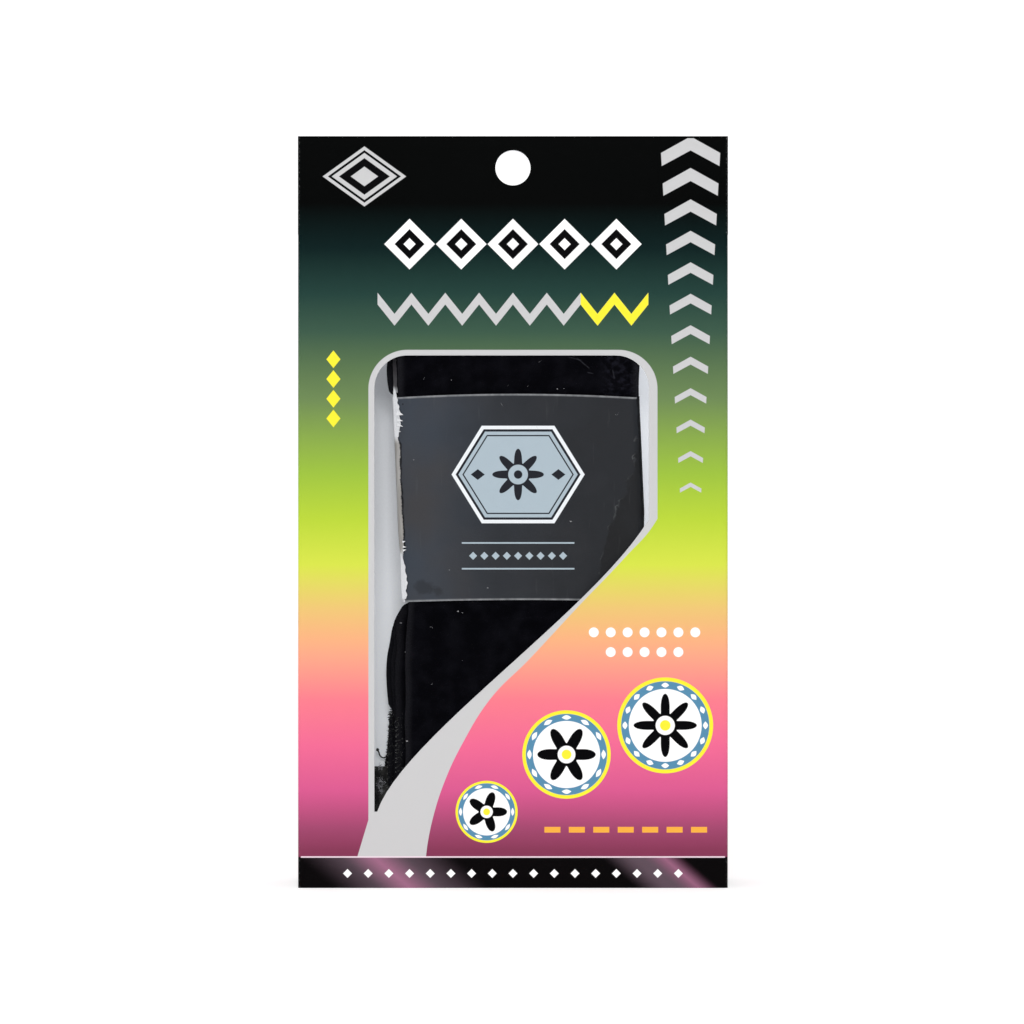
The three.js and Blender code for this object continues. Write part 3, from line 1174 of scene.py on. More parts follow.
    def flower(self, shader: Shader, colour: Socket, x: Field, z: Field,
               row: tuple[float, float, float, int]) -> Socket:
        """Prints a round medallion with a flower of petals.

        Args:
            shader: The material.
            colour: The colour below it.
            x: The place across, in millimetres.
            z: The height, in millimetres.
            row: The medallion's row of FLOWERS.

        Returns:
            The colour with the medallion on it.
        """
        across, up, radius, petals = row
        u = x - across
        v = z - up
        away = length(u, v)
        turn = v.apply("ARCTAN2", u)
        ring = away - radius * 0.92
        swing = (turn * (2.0 * petals)).apply("COSINE") * (radius * -0.05)
        beads = swing + (away - radius * 0.84).size()
        petal = away - (turn * float(petals)).apply("COSINE") * (radius * 0.2) - radius * 0.46
        return shader.prints(
            colour,
            (self.yellow, (away - radius).inside()),
            (self.white, ring.inside()),
            (self.blue, ring.most(-away + radius * 0.76).inside()),
            (self.white, beads.inside()),
            (self.ink, petal.inside()),
            (self.white, (away - radius * 0.2).inside()),
            (self.yellow, (away - radius * 0.11).inside()),
        )

    def ornament(self, shader: Shader, colour: Socket, x: Field, z: Field) -> Socket:
        """Prints the front's ornament over the fade.

        Args:
            shader: The material.
            colour: The fade.
            x: The place across, in millimetres.
            z: The height, in millimetres.

        Returns:
            The printed colour.
        """
        up = (z - self.chevron_base) * (1.0 / self.chevron_rise)
        across = (x - self.chevron_place).size()
        chevron = (z + across * 0.55).repeat(self.chevron_pitch) - up * 1.15 - 0.35
        column = chevron.most(across - up * 4.6 - 1.9).most(-z + self.chevron_foot)
        emblem = (x - self.emblem_place[0]).size() * 0.72 + (z - self.emblem_place[1]).size()
        within = x.size() - self.gems_half
        gem = x.repeat(self.gem_pitch) + (z - self.gem_height).size()
        wave = z - self.zigzag_height + x.repeat(self.zigzag_pitch) * 1.25 - 2.2
        zigzag = (wave.size() - 1.25).most(x.size() - self.zigzag_half)
        colour = shader.prints(
            colour,
            (self.pale, column.inside()),
            (self.pale, (emblem - 6.4).inside()),
            (self.ink, ((emblem - 5.3).size() - 0.3).inside()),
            (self.ink, ((emblem - 3.0).size() - 0.9).inside()),
            (self.white, (gem - 5.4).most(within).inside()),
            (self.ink, (gem - 3.2).most(within).inside()),
            (self.white, (gem - 1.3).most(within).inside()),
            (self.pale, zigzag.inside()),
            (self.yellow, zigzag.most(-x + self.zigzag_half / 2).inside()),
        )
        for step in range(self.lozenges):
            u = x - self.lozenge_place[0]
            v = z - (self.lozenge_place[1] - step * self.lozenge_pitch)
            colour = shader.paint(colour, self.yellow, (u.size() + v.size() * 0.8 - 1.5).inside())
        u = x - self.dots_place
        for height, half in self.DOT_ROWS:
            dots = length(u.repeat(self.dot_pitch), z - height) - self.dot_radius
            colour = shader.paint(colour, self.white, dots.most(u.size() - half).inside())
        for row in self.FLOWERS:
            colour = self.flower(shader, colour, x, z, row)
        u = x - self.dashes_place[0]
        v = z - self.dashes_place[1]
        dash = (u.repeat(self.dash_pitch) - self.dash_half[0]).most(v.size() - self.dash_half[1])
        return shader.paint(colour, self.orange, dash.most(u.size() - self.dashes_half).inside())

    def strip(self, shader: Shader, x: Field, z: Field) -> tuple[Socket, Socket]:
        """Prints the dark strip along the foot.

        Args:
            shader: The material.
            x: The place across, in millimetres.
            z: The height, in millimetres.

        Returns:
            The strip without and with its row of small diamonds.
        """
        slant = x + z * self.strip_slant
        plain: Socket | Colour = self.strip_dark
        for centre, drift, reach in self.STRIP_GLOWS:
            haze = (slant - (centre + drift)).size() - reach * 0.72
            plain = shader.paint(plain, self.strip_haze, haze.inside(reach * 0.62))
        for centre, _, reach in self.STRIP_GLOWS:
            streak = (slant - centre).size() - reach * 0.12
            plain = shader.paint(plain, self.strip_mauve, streak.inside(reach * 0.3 + 2.0))
        bead = x.repeat(self.bead_pitch) + (z - self.bead_height).size() - self.bead_half
        beads = bead.most(x.size() - self.beads_half)
        return plain, shader.paint(plain, self.white, beads.inside())

    def skin(self, x: Field, y: Field, z: Field) -> Field:
        """Finds the board's outer faces.

        Args:
            x: The place across, in millimetres.
            y: The depth, in millimetres.
            z: The height, in millimetres.

        Returns:
            1 on the outer faces, 0 inside the carton and on the header's cut edges.
        """
        across = x.size() - (self.width / 2 - self.fold)
        deep = y.size() - (self.depth / 2 - self.fold)
        beyond = across.most(0.0)
        round_corner = length(beyond, deep.most(0.0)) + across.most(deep).least(0.0) - self.fold
        shoulder = self.height - self.header
        closures = z.least((z - shoulder).size())
        body = (-round_corner).least(closures).most(z - shoulder - 0.06)
        ply = y + (self.depth / 2 - self.header_fold)
        above = (z - (self.height - self.header_fold)).most(0.0)
        head = (length(ply, above) - self.header_fold).size()
        return (body.least(head.most(-z + shoulder + 0.06)) - 0.04).inside(0.012)

    def make(self, textures: SharedTextures) -> Material:
        """Makes the material.

        Args:
            textures: The shared noise groups.

        Returns:
            The material.
        """
        shader = Shader("printed_board")
        place = shader.place()
        x, y, z = shader.millimetres(place)
        pulp = shader.group(textures.pulp, place, Fineness=self.fibres_per_metre)
        fade = shader.ramp(z * (1.0 / self.height), self.FADE)
        front = self.ornament(shader, fade, x, z)
        sweep = (-z + self.sweep_top).most(0.0) * self.sweep_slant
        side = x.size() - sweep - (self.border_half - self.border_corner)
        above = z - (self.border_top - self.border_corner)
        frame = length(side.most(0.0), above.most(0.0)) - self.border_corner
        edge = self.band_edge(shader, x)
        rim = frame.most((edge - z) * 0.6)
        strip, beaded = self.strip(shader, x, z)
        over_strip = z - self.strip_height
        foot = over_strip.inside()
        front = shader.prints(
            front,
            (self.pale, rim.inside()),
            (beaded, foot),
            (self.line, (over_strip.size() - self.line_half).inside(0.1)),
        )
        rest = shader.paint(fade, strip, foot)
        outside = shader.paint(rest, front, (y + self.depth / 2 - 0.02).inside(0.01))
        shown = self.skin(x, y, z)
        inner = shader.paint(self.core, self.core_shade, pulp["Fibres"])
        near_side = (x.size() - self.width / 2 + 0.5).most(0.0)
        near_face = (y.size() - self.depth / 2 + 0.5).most(0.0)
        wear = (pulp["Fibres"] - 0.52) * near_side * near_face * 5.0
        printed = shader.paint(outside, self.core, wear.most(0.0).least(0.5))
        shader.colour(shader.paint(inner, printed, shown))
        gloss = pulp["Fibres"] * 0.1 + 0.36
        shader.roughness(gloss * shown + (-shown + 1.0) * 0.8)
        # Painted light: the inner faces glow a little, more lower down and most at the right side
        left = (-z + self.painted_glow_top) * 0.008
        right = (-x + self.painted_glow_right).inside(8.0) * 0.8
        painted_glow = left.most(0.2).least(0.34).most(right)
        shader.glow(shader.paint((0.0, 0.0, 0.0), self.core, painted_glow * (-shown + 1.0)))
        shader.constant(Specular_IOR_Level=0.018, Emission_Strength=0.4)
        wave = shader.noise(place, 28.0, 1.0)
        shader.relief(pulp["Fibres"] + pulp["Mottle"] * 2.0 + wave * 30.0, 0.02 * MM, 0.35)
        return shader.material


@dataclass(frozen=True)
class Layer:
    """One layer's lean at the named heights, as shares of the band's width."""

    top: float
    flare: float
    notch: float
    foot: float


@dataclass
class FoldedStack:
    """How the band lies: five layers, front to back, cinched by the sleeve."""

    band_length: float = 550 * MM
    band_width: float = 50 * MM
    band_thickness: float = 2.4 * MM
    band_end_height: float = 17.2 * MM
    tab_height: float = 23 * MM
    tab_thickness: float = 0.9 * MM
    tab_room: float = 0.35 * MM
    hook_foot_height: float = 0.9 * MM
    hook_shift: float = -2.6 * MM
    sleeve_height: float = 44 * MM
    sleeve_paper: float = 0.4 * MM
    sleeve_corner: float = 1.6 * MM
    sleeve_place: float = 0.722
    cinch_gap: float = 0.4 * MM
    cinch_reach: float = 7.2 * MM
    board: float = 0.5 * MM
    clearance: float = 0.3 * MM
    layers: tuple[Layer, ...] = (
        Layer(top=0.014, flare=0.04, notch=0.04, foot=0.04),
        Layer(top=-0.044, flare=-0.006, notch=0.0, foot=0.0),
        Layer(top=0.045, flare=-0.026, notch=-0.012, foot=-0.016),
        Layer(top=0.012, flare=-0.05, notch=-0.038, foot=-0.044),
        Layer(top=0.02, flare=-0.044, notch=-0.036, foot=-0.072),
    )
    lean_top: float = 0.014
    lean_foot: float = 0.053
    foot_share: float = 0.112
    notch_share: float = 0.306
    flare_share: float = 0.392
    run_steps: int = 160
    fold_steps: int = 20

    def __post_init__(self) -> None:
        """Works out the sizes that follow and the path that the band takes."""
        count = len(self.layers)
        self.gap = self.tab_thickness + 2 * self.tab_room
        self.pitch = self.band_thickness + self.gap
        self.loose_depth = count * self.band_thickness + (count - 1) * self.gap
        self.cinched_depth = count * self.band_thickness + (count - 2) * self.cinch_gap + self.gap
        self.fold_reach = (self.pitch + self.band_thickness) / 2
        folds = (count - 1) * math.pi * self.pitch / 2
        shortfall = self.band_end_height - self.fold_reach
        self.run = (self.band_length - folds - self.fold_reach + shortfall) / count
        self.foot = self.board + self.clearance
        self.run_foot = self.foot + self.fold_reach
        self.run_top = self.run_foot + self.run
        self.top = self.run_top + self.fold_reach
        self.sleeve_middle = self.foot + self.sleeve_place * (self.top - self.foot)
        self.sleeve_foot = self.sleeve_middle - self.sleeve_height / 2
        self.sleeve_top = self.sleeve_middle + self.sleeve_height / 2
        self.path = self.trace()

    def depth_at(self, k: int, height: float) -> float:
        """Reads where a layer lies, front to back.

        Args:
            k: The layer, 0 in front.
            height: The height there.

        Returns:
            The place along y.
        """
        loose = -self.loose_depth / 2 + self.band_thickness / 2 + k * self.pitch
        room = 0.0 if k == 0 else self.gap - self.cinch_gap
        near = -self.cinched_depth / 2 + self.band_thickness / 2
        cinched = near + k * (self.band_thickness + self.cinch_gap) + room
        beyond = abs(height - self.sleeve_middle) - self.sleeve_height / 2 - self.clearance
        return mix(cinched, loose, smooth(beyond / self.cinch_reach))

    def sleeve_lean(self, height: float) -> float:
        """Returns where the layers' middle lies inside the sleeve, left or right."""
        up = (height - self.sleeve_foot) / self.sleeve_height
        return self.band_width * mix(self.lean_foot, self.lean_top, up)

    def lean_at(self, k: int, height: float) -> float:
        """Reads where the middle of a layer lies, left or right.

        Args:
            k: The layer, 0 in front.
            height: The height there.

        Returns:
            The place along x.
        """
        layer = self.layers[k]
        edge_top = self.sleeve_top + self.clearance
        edge_foot = self.sleeve_foot - self.clearance
        if height > edge_top:
            up = (height - edge_top) / (self.run_top - edge_top)
            return mix(self.sleeve_lean(edge_top), self.band_width * layer.top, ease_out(up))
        if height > edge_foot:
            return self.sleeve_lean(height)
        flare = self.run_foot + self.flare_share * self.run
        notch = self.run_foot + self.notch_share * self.run
        foot = self.run_foot + self.foot_share * self.run
        if height > flare:
            down = (edge_foot - height) / (edge_foot - flare)
            return mix(self.sleeve_lean(edge_foot), self.band_width * layer.flare, ease_out(down))
        if height > notch:
            up = (height - notch) / (flare - notch)
            return self.band_width * mix(layer.notch, layer.flare, smooth(up))
        up = (height - foot) / (notch - foot)
        return self.band_width * mix(layer.foot, layer.notch, smooth(up))

    def trace(self) -> list[Vector]:
        """Follows the folded band.

        Returns:
            Closely spaced points along its middle, from the front layer's free end.
        """
        points: list[Vector] = []
        for k in range(len(self.layers)):
            upward = k % 2 == 1
            start = self.run_foot if upward else self.run_top
            end = self.run_top if upward else self.run_foot
            if k == 0:
                start = self.top
            if k == len(self.layers) - 1:
                end = self.foot + self.band_end_height
            for i in range(self.run_steps + 1):
                height = mix(start, end, i / self.run_steps)
                points.append(Vector((self.lean_at(k, height), self.depth_at(k, height), height)))
            if k < len(self.layers) - 1:
                points += self.fold(k, upward)
        return points

    def fold(self, k: int, at_top: bool) -> list[Vector]:
        """Follows one fold.

        Args:
            k: The layer in front of the fold.
            at_top: Whether the fold is at the top or at the foot.

        Returns:
            Points round it.
        """
        height = self.run_top if at_top else self.run_foot
        side = 1 if at_top else -1
        front, back = self.depth_at(k, height), self.depth_at(k + 1, height)
        points = []
        for i in range(1, self.fold_steps):
            share = i / self.fold_steps
            angle = math.pi * share
            lean = mix(self.lean_at(k, height), self.lean_at(k + 1, height), smooth(share))
            depth = (front + back) / 2 - (back - front) / 2 * math.cos(angle)
            points.append(Vector((lean, depth, height + side * (back - front) / 2 * math.sin(angle))))
        return points


@dataclass
class VelvetBand:
    """The band itself: one strip of velvet-faced elastic, folded into the stack."""

    stack: FoldedStack
    steps_across: int = 28
    steps_along: int = 1000
    edge_bevel: float = 0.75 * MM
    crush_depth: float = 0.14 * MM
    crush_size: float = 9 * MM
    ripple_depth: float = 0.16 * MM
    ripple_size: float = 2.6 * MM
    edge_wave: float = 0.22 * MM
    edge_wave_size: float = 5 * MM
    before_second: float = -5 * MM
    before_third: float = -1 * MM
    before_fourth: float = 2 * MM
    nick_height: float = 36.8 * MM
    nick_reach: float = 1.5 * MM
    nick_depth: float = 0.95 * MM
    sag: float = 1.25 * MM
    spread_right: float = 27.05 * MM
    spread_front: float = -24.65 * MM
    spread_second: tuple[float, float] = (-26.45 * MM, -27.2 * MM)
    fuzz_length: float = 0.55 * MM
    fuzz_width: float = 0.05 * MM
    fuzz_per_metre: float = 5200.0

    def __post_init__(self) -> None:
        """Measures the path, so that a share of the band's length gives a place on it."""
        path = self.stack.path
        self.marks = [0.0]
        for a, b in zip(path, path[1:]):
            flat = Vector((0.0, b.y - a.y, b.z - a.z))
            self.marks.append(self.marks[-1] + flat.length)

    def station(self, share: float) -> tuple[Vector, Vector]:
        """Reads the path.

        Args:
            share: How far along the band, from 0 to 1.

        Returns:
            The middle of the band there, and the direction out of its first face.
        """
        goal = min(max(share, 0.0), 1.0) * self.marks[-1]
        low, high = 0, len(self.marks) - 2
        while low < high:
            middle = (low + high + 1) // 2
            if self.marks[middle] <= goal:
                low = middle
            else:
                high = middle - 1
        a, b = self.stack.path[low], self.stack.path[low + 1]
        span = self.marks[low + 1] - self.marks[low]
        place = a.lerp(b, (goal - self.marks[low]) / span)
        run = Vector((0.0, b.y - a.y, b.z - a.z)).normalized()
        return place, Vector((0.0, run.z, -run.y))

    def surface(self, across: float, along: float) -> Vector:
        """Gives the middle surface of the cloth.

        Args:
            across: The share of the width.
            along: The share of the length.

        Returns:
            The point, with the soft unevenness of crushed velvet.
        """
        place, out = self.station(along)
        flat = Vector((across * self.stack.band_width, along * self.stack.band_length, 0.0))
        crush = wander(flat, self.crush_size) * self.crush_depth
        rim = 1.0 - smooth(min(across, 1.0 - across) * 12.0)
        ripple = wander(flat, self.ripple_size, 4.0) * self.ripple_depth * rim
        side = wander(Vector((0.0, flat.y, across)), self.edge_wave_size, 9.0) * self.edge_wave * rim
        if place.y > self.before_fourth:
            near = max(1.0 - abs(place.z - self.nick_height) / self.nick_reach, 0.0)
            side += near * self.nick_depth * (1.0 - smooth(across * 9.0))
        side += self.spread(across, place)
        width = self.stack.band_width - self.edge_bevel * 0.2
        return place + Vector(((across - 0.5) * width + side, 0.0, 0.0)) + out * (crush + ripple)

    def spread(self, across: float, place: Vector) -> float:
        """Works out how far the cloth spreads sideways where it leaves the sleeve, above and below.

        Args:
            across: The share of the width.
            place: The middle of the band there.

        Returns:
            The shift to the right.
        """
        above = place.z - self.stack.sleeve_top
        half = self.stack.band_width / 2
        right = max(self.spread_right - place.x - half, 0.0) * smooth(above / (3.5 * MM) + 0.9)
        goal = self.spread_front
        if place.y > self.before_second:
            goal = mix(*self.spread_second, min(max(above / (6 * MM), 0.0), 1.0))
        left = max(place.x - half - goal, 0.0) * smooth(above / (2 * MM) + 0.4)
        if place.y > self.before_third:
            left = 0.0
        below = self.stack.sleeve_foot - place.z
        if place.y > self.before_second:
            left += self.sag * smooth(below / (1.6 * MM)) * (1.0 - smooth((below - 4 * MM) / (6 * MM)))
        return right * (1.0 - smooth((1.0 - across) * 9.0)) - left * (1.0 - smooth(across * 9.0))

    def build_cloth(self) -> Object:
        """Models the folded cloth.

        Returns:
            The cloth, with its thickness and soft edges.
        """
        cloth = sheet("velvet_cloth", self.steps_across, self.steps_along, self.surface,
                      self.stack.band_thickness)
        round_edges(cloth, self.edge_bevel, segments=3, profile=0.6)
        return cloth

    def build_fuzz(self) -> Object:
        """Grows the pile that stands out from the band's long edges.

        Returns:
            The pile's fibres as one piece.
        """
        draw = random.Random(SEED)
        strands = Strands()
        count = int(self.fuzz_per_metre * self.stack.band_length)
        for i in range(count):
            share = (i + draw.random()) / count
            _, out = self.station(share)
            for side in (-1.0, 1.0):
                edge = self.surface(0.5 + side * 0.5, share)
                lift = draw.uniform(-1.0, 1.0) * (self.stack.band_thickness / 2 - 0.2 * MM)
                inset = 0.25 * MM + 0.5 * MM * (lift / self.stack.band_thickness * 2) ** 4
                root = edge + out * lift - Vector((side * inset, 0.0, 0.0))
                lean = Vector((side, draw.uniform(-0.5, 0.5), draw.uniform(-0.7, 0.7)))
                reach = self.fuzz_length * draw.uniform(0.45, 1.0)
                strands.add(root, root + lean.normalized() * reach, self.fuzz_width)
        return strands.build("velvet_fuzz")

    def build(self, finishes: Finishes) -> None:
        """Builds and dresses the cloth and its fuzz.

        Args:
            finishes: The materials.
        """
        cloth = self.build_cloth()
        fuzz = self.build_fuzz()
        for piece, finish in ((cloth, Finish.VELVET), (fuzz, Finish.FUZZ)):
            register(piece, finishes[finish], "velvet")
        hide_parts("velvet_band")


def register(piece: Object, finish: Material, slot: str) -> None:
    """Gives a piece its material and the body that it rides on.

    Args:
        piece: The piece.
        finish: Its material.
        slot: The record's material slot; not used.
    """
    piece.data.materials.clear()
    piece.data.materials.append(finish)
    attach(piece, BODY)
    LOG.info("%s: %d faces", piece.name, len(piece.data.polygons))


@dataclass
class FastenerTab:
    """A woven fastener tab sewn along one end of the band."""

    stack: FoldedStack
    name: str
    node: str
    layer: int
    foot: float
    face: Face
    shift: float
    steps_across: int = 60
    steps_up: int = 36
    edge_bevel: float = 0.12 * MM
    wave: float = 0.06 * MM
    wave_size: float = 7 * MM
    ragged: float = 0.45 * MM
    cloth_thickness: float = 0.55 * MM
    hook_pitch: float = 1.3 * MM
    hook_height: float = 0.32 * MM
    hook_width: float = 0.16 * MM
    hook_root: float = 0.35
    hook_drift: float = 0.1 * MM
    hook_droop: float = 0.12 * MM

    def surface(self, across: float, up: float) -> Vector:
        """Gives the tab's middle surface.

        Args:
            across: The share of its width.
            up: The share of its height.

        Returns:
            The point.
        """
        height = self.foot + up * self.stack.tab_height
        lean = self.stack.lean_at(self.layer, height) + self.shift
        off = self.stack.band_thickness / 2 + self.stack.clearance + self.stack.tab_thickness / 2
        depth = self.stack.depth_at(self.layer, height) + self.face.value * off
        edge = 1.0 - smooth(min(across, 1.0 - across) * 14.0)
        frayed = wander(Vector((across, 0.0, height)), 1.3 * MM, 3.0) * self.ragged * edge
        x = lean + (across - 0.5) * (self.stack.band_width - 2 * self.ragged) + frayed
        wave = wander(Vector((x, 0.0, height)), self.wave_size, 6.0) * self.wave
        return Vector((x, depth + wave, height))

    def build_hooks(self) -> Object:
        """Sets rows of small stubs on the side of the tab that faces its layer.

        Returns:
            The stubs as one piece.
        """
        strands = Strands()
        columns = int(self.stack.band_width / self.hook_pitch) - 1
        rows = int(self.stack.tab_height / self.hook_pitch) - 1
        for row in range(rows):
            for column in range(columns):
                across = (column + 1 + 0.5 * (row % 2)) / (columns + 1.5)
                base = self.surface(across, (row + 1) / (rows + 1))
                inward = self.face.value * -self.cloth_thickness * self.hook_root
                root = base + Vector((0.0, inward, 0.0))
                reach = -self.face.value * self.hook_height
                tip = root + Vector((self.hook_drift, reach, -self.hook_droop))
                strands.add(root, tip, self.hook_width)
        return strands.build(f"{self.name}_nap")

    def build(self, finish: Material, slot: str) -> None:
        """Builds and dresses the tab and its nap.

        Args:
            finish: The tab's material.
            slot: The record's material slot.
        """
        tape = sheet(f"{self.name}_tape", self.steps_across, self.steps_up, self.surface,
                     self.cloth_thickness)
        round_edges(tape, self.edge_bevel, segments=2)
        nap = self.build_hooks()
        for piece in (tape, nap):
            register(piece, finish, slot)
        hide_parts(self.node)


@dataclass
class Stitching:
    """Overlock thread round the left edge of the last layer where the hook tab is sewn on."""

    stack: FoldedStack
    foot: float = 19.4 * MM
    height: float = 17.0 * MM
    pitch: float = 1.05 * MM
    thickness: float = 0.22 * MM
    reach: float = 1.25 * MM
    fuzz: int = 1500
    fuzz_length: float = 1.0 * MM
    fuzz_width: float = 0.15 * MM
    steps: int = 10
    tail_height: float = 26.4 * MM
    tail_thickness: float = 0.33 * MM
    knot_radius: float = 0.36 * MM

    # The loose tail, from the stitch that it leaves: how far left, forward and up, in millimetres
    TAIL: ClassVar[Rows] = (
        (0.0, 0.0, 0.0), (0.5, 0.3, -0.2), (1.0, 0.7, 0.0), (1.35, 1.1, 0.5), (1.5, 1.5, 1.1),
        (1.75, 1.8, 1.7),
    )

    def wind(self, layer: int, draw: random.Random) -> list[Vector]:
        """Winds a thread round a layer's left edge.

        Args:
            layer: Which layer it binds.
            draw: The source of its unevenness.

        Returns:
            The thread's route.
        """
        route = []
        half = self.stack.band_thickness / 2 + 0.05 * MM
        base = self.foot
        while base < self.foot + self.height:
            rise = self.pitch * draw.uniform(0.35, 1.7)
            slack = draw.uniform(0.45, 1.25)
            drift = draw.uniform(-0.7, 0.7) * MM
            for i in range(self.steps):
                angle = math.tau * i / self.steps
                height = base + rise * i / self.steps + drift * math.sin(angle / 2) ** 2
                edge = self.stack.lean_at(layer, height) - self.stack.band_width / 2
                x = edge + self.reach * slack * 0.5 * (1.0 - math.cos(angle)) - 0.12 * MM
                depth = self.stack.depth_at(layer, height) - half * math.sin(angle)
                route.append(Vector((x, depth, height)))
            base += rise
        return route

    def fray(self, draw: random.Random) -> Object:
        """Grows short ends of yarn between the threads.

        Args:
            draw: The source of their unevenness.

        Returns:
            The ends as one piece.
        """
        strands = Strands()
        last = len(self.stack.layers) - 1
        for _ in range(self.fuzz):
            layer = draw.choice((last, last, last - 1, last - 3))
            height = self.foot + draw.uniform(0.0, self.height)
            edge = self.stack.lean_at(layer, height) - self.stack.band_width / 2
            depth = self.stack.depth_at(layer, height) + draw.uniform(-1.0, 1.0) * MM
            root = Vector((edge + draw.uniform(0.1, 1.6) * MM, depth - 0.3 * MM, height))
            way = Vector((draw.uniform(-0.8, 0.4), draw.uniform(-0.8, 0.1), draw.uniform(-1.0, 1.0)))
            tip = root + way.normalized() * self.fuzz_length * draw.uniform(0.4, 1.0)
            strands.add(root, tip, self.fuzz_width)
        return strands.build("edge_fray")

    def build(self, finish: Material) -> None:
        """Builds and dresses the wound threads, the loose tail with its knot and the frayed ends.

        Args:
            finish: The thread's material.
        """
        draw = random.Random(SEED + 1)
        last = len(self.stack.layers) - 1
        routes = [self.wind(layer, draw) for layer in (last, last - 1, last - 3)]
        parts = [thread(f"edge_stitching_{i}", route, self.thickness) for i, route in enumerate(routes)]
        start = min(routes[0], key=lambda point: abs(point.z - self.tail_height) + point.x)
        loose = [start + Vector((-left, -forward, up)) * MM for left, forward, up in self.TAIL]
        parts.append(thread("loose_tail", loose, self.tail_thickness))
        bpy.ops.object.select_all(action="DESELECT")
        bpy.ops.mesh.primitive_ico_sphere_add(subdivisions=2, radius=self.knot_radius, location=loose[-1])
        knot = bpy.context.active_object
        bpy.ops.object.transform_apply(location=True, rotation=True, scale=True)
        for vertex in knot.data.vertices:
            vertex.co += vertex.normal * wander(vertex.co, 0.3 * MM) * 0.08 * MM
        register(join([*parts, knot, self.fray(draw)], "edge_stitching"), finish, "hook_tape")


@dataclass
class PaperSleeve:
    """The belly band: a strip of paper folded round the layers and lapped at the back."""

    stack: FoldedStack
    paper: float = 0.24 * MM
    lap: float = 12 * MM
    steps_around: int = 330
    steps_up: int = 66
    arch: float = 0.45 * MM
    droop: float = 0.35 * MM
    slack: float = 0.45 * MM
    bulge: float = 0.42 * MM
    bulge_foot: float = 66 * MM
    swell: float = 0.28 * MM
    swell_foot: float = 75 * MM
    wrap: float = 1.2 * MM
    lap_rise: float = 3 * MM
    lap_gap: float = 0.08 * MM

    def __post_init__(self) -> None:
        """Works out the loop that the paper takes."""
        rest = self.stack.clearance + self.stack.sleeve_paper / 2
        self.half_width = self.stack.band_width / 2 + rest + self.slack
        self.half_depth = self.stack.cinched_depth / 2 + rest
        self.corner = self.stack.sleeve_corner - self.stack.sleeve_paper / 2
        flat_x = 2 * (self.half_width - self.corner)
        flat_y = 2 * (self.half_depth - self.corner)
        arc = math.pi * self.corner / 2
        self.sides = (flat_x / 2, arc, flat_y, arc, flat_x, arc, flat_y, arc, flat_x / 2)
        self.around = sum(self.sides)

    def loop(self, distance: float) -> tuple[Vector, Vector]:
        """Reads the loop.

        Args:
            distance: How far round it, from the middle of the back towards the left.

        Returns:
            The place in plan and the direction outwards.
        """
        distance %= self.around
        headings = (180, None, 270, None, 0, None, 90, None, 180)
        place = Vector((0.0, self.half_depth, 0.0))
        heading = math.pi
        for side, given in zip(self.sides, headings):
            step = min(distance, side)
            if given is None:
                start = heading
                turn = step / self.corner
                centre = place + Vector((-math.sin(start), math.cos(start), 0.0)) * self.corner
                heading = start + turn
                place = centre + Vector((math.sin(heading), -math.cos(heading), 0.0)) * self.corner
            else:
                heading = math.radians(given)
                place = place + Vector((math.cos(heading), math.sin(heading), 0.0)) * step
            distance -= step
            if distance <= 0.0:
                break
        return place, Vector((math.sin(heading), -math.cos(heading), 0.0))

    def surface(self, around: float, up: float) -> Vector:
        """Gives the paper's middle surface.

        Args:
            around: The share of the strip's length.
            up: The share of its height.

        Returns:
            The point.
        """
        strip = self.around + self.lap
        distance = around * strip - self.lap / 2
        place, out = self.loop(distance)
        lift = 0.0
        if distance > self.around - self.lap:
            risen = smooth((distance - self.around + self.lap) / self.lap_rise)
            lift = risen * (self.paper + self.lap_gap)
        height = self.stack.sleeve_foot + up * self.stack.sleeve_height
        flat = Vector((distance, height, 0.0))
        crease = wander(flat, 11 * MM, 2.0) * 0.06 * MM + wander(flat, 3.4 * MM, 5.0) * 0.025 * MM
        rim = min(up, 1.0 - up)
        crease += (1.0 - smooth(rim * 16.0)) * 0.05 * MM
        on_front = smooth((-place.y - self.half_depth + self.wrap) / self.wrap)
        share = (place.x / self.half_width) ** 2
        height += on_front * (self.arch * (1.0 - share) - self.droop * share * up)
        left = smooth((-place.x - self.half_width + self.wrap) / self.wrap)
        right = smooth((place.x - self.half_width + self.wrap) / self.wrap)
        bulge = self.bulge * left * smooth((height - self.bulge_foot) / (10 * MM))
        swell = self.swell * right * smooth((height - self.swell_foot) / (6 * MM))
        x = place.x + self.stack.sleeve_lean(height) - bulge + swell
        return Vector((x, place.y, height)) + out * (crease + lift)

    def build(self, finish: Material) -> None:
        """Builds and dresses the sleeve.

        Args:
            finish: Its material.
        """
        sleeve = sheet("sleeve_paper_strip", self.steps_around, self.steps_up, self.surface, self.paper)
        select_only(sleeve)
        bpy.ops.object.shade_smooth_by_angle(angle=math.radians(40))
        register(sleeve, finish, "sleeve_paper")
        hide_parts("paper_sleeve")


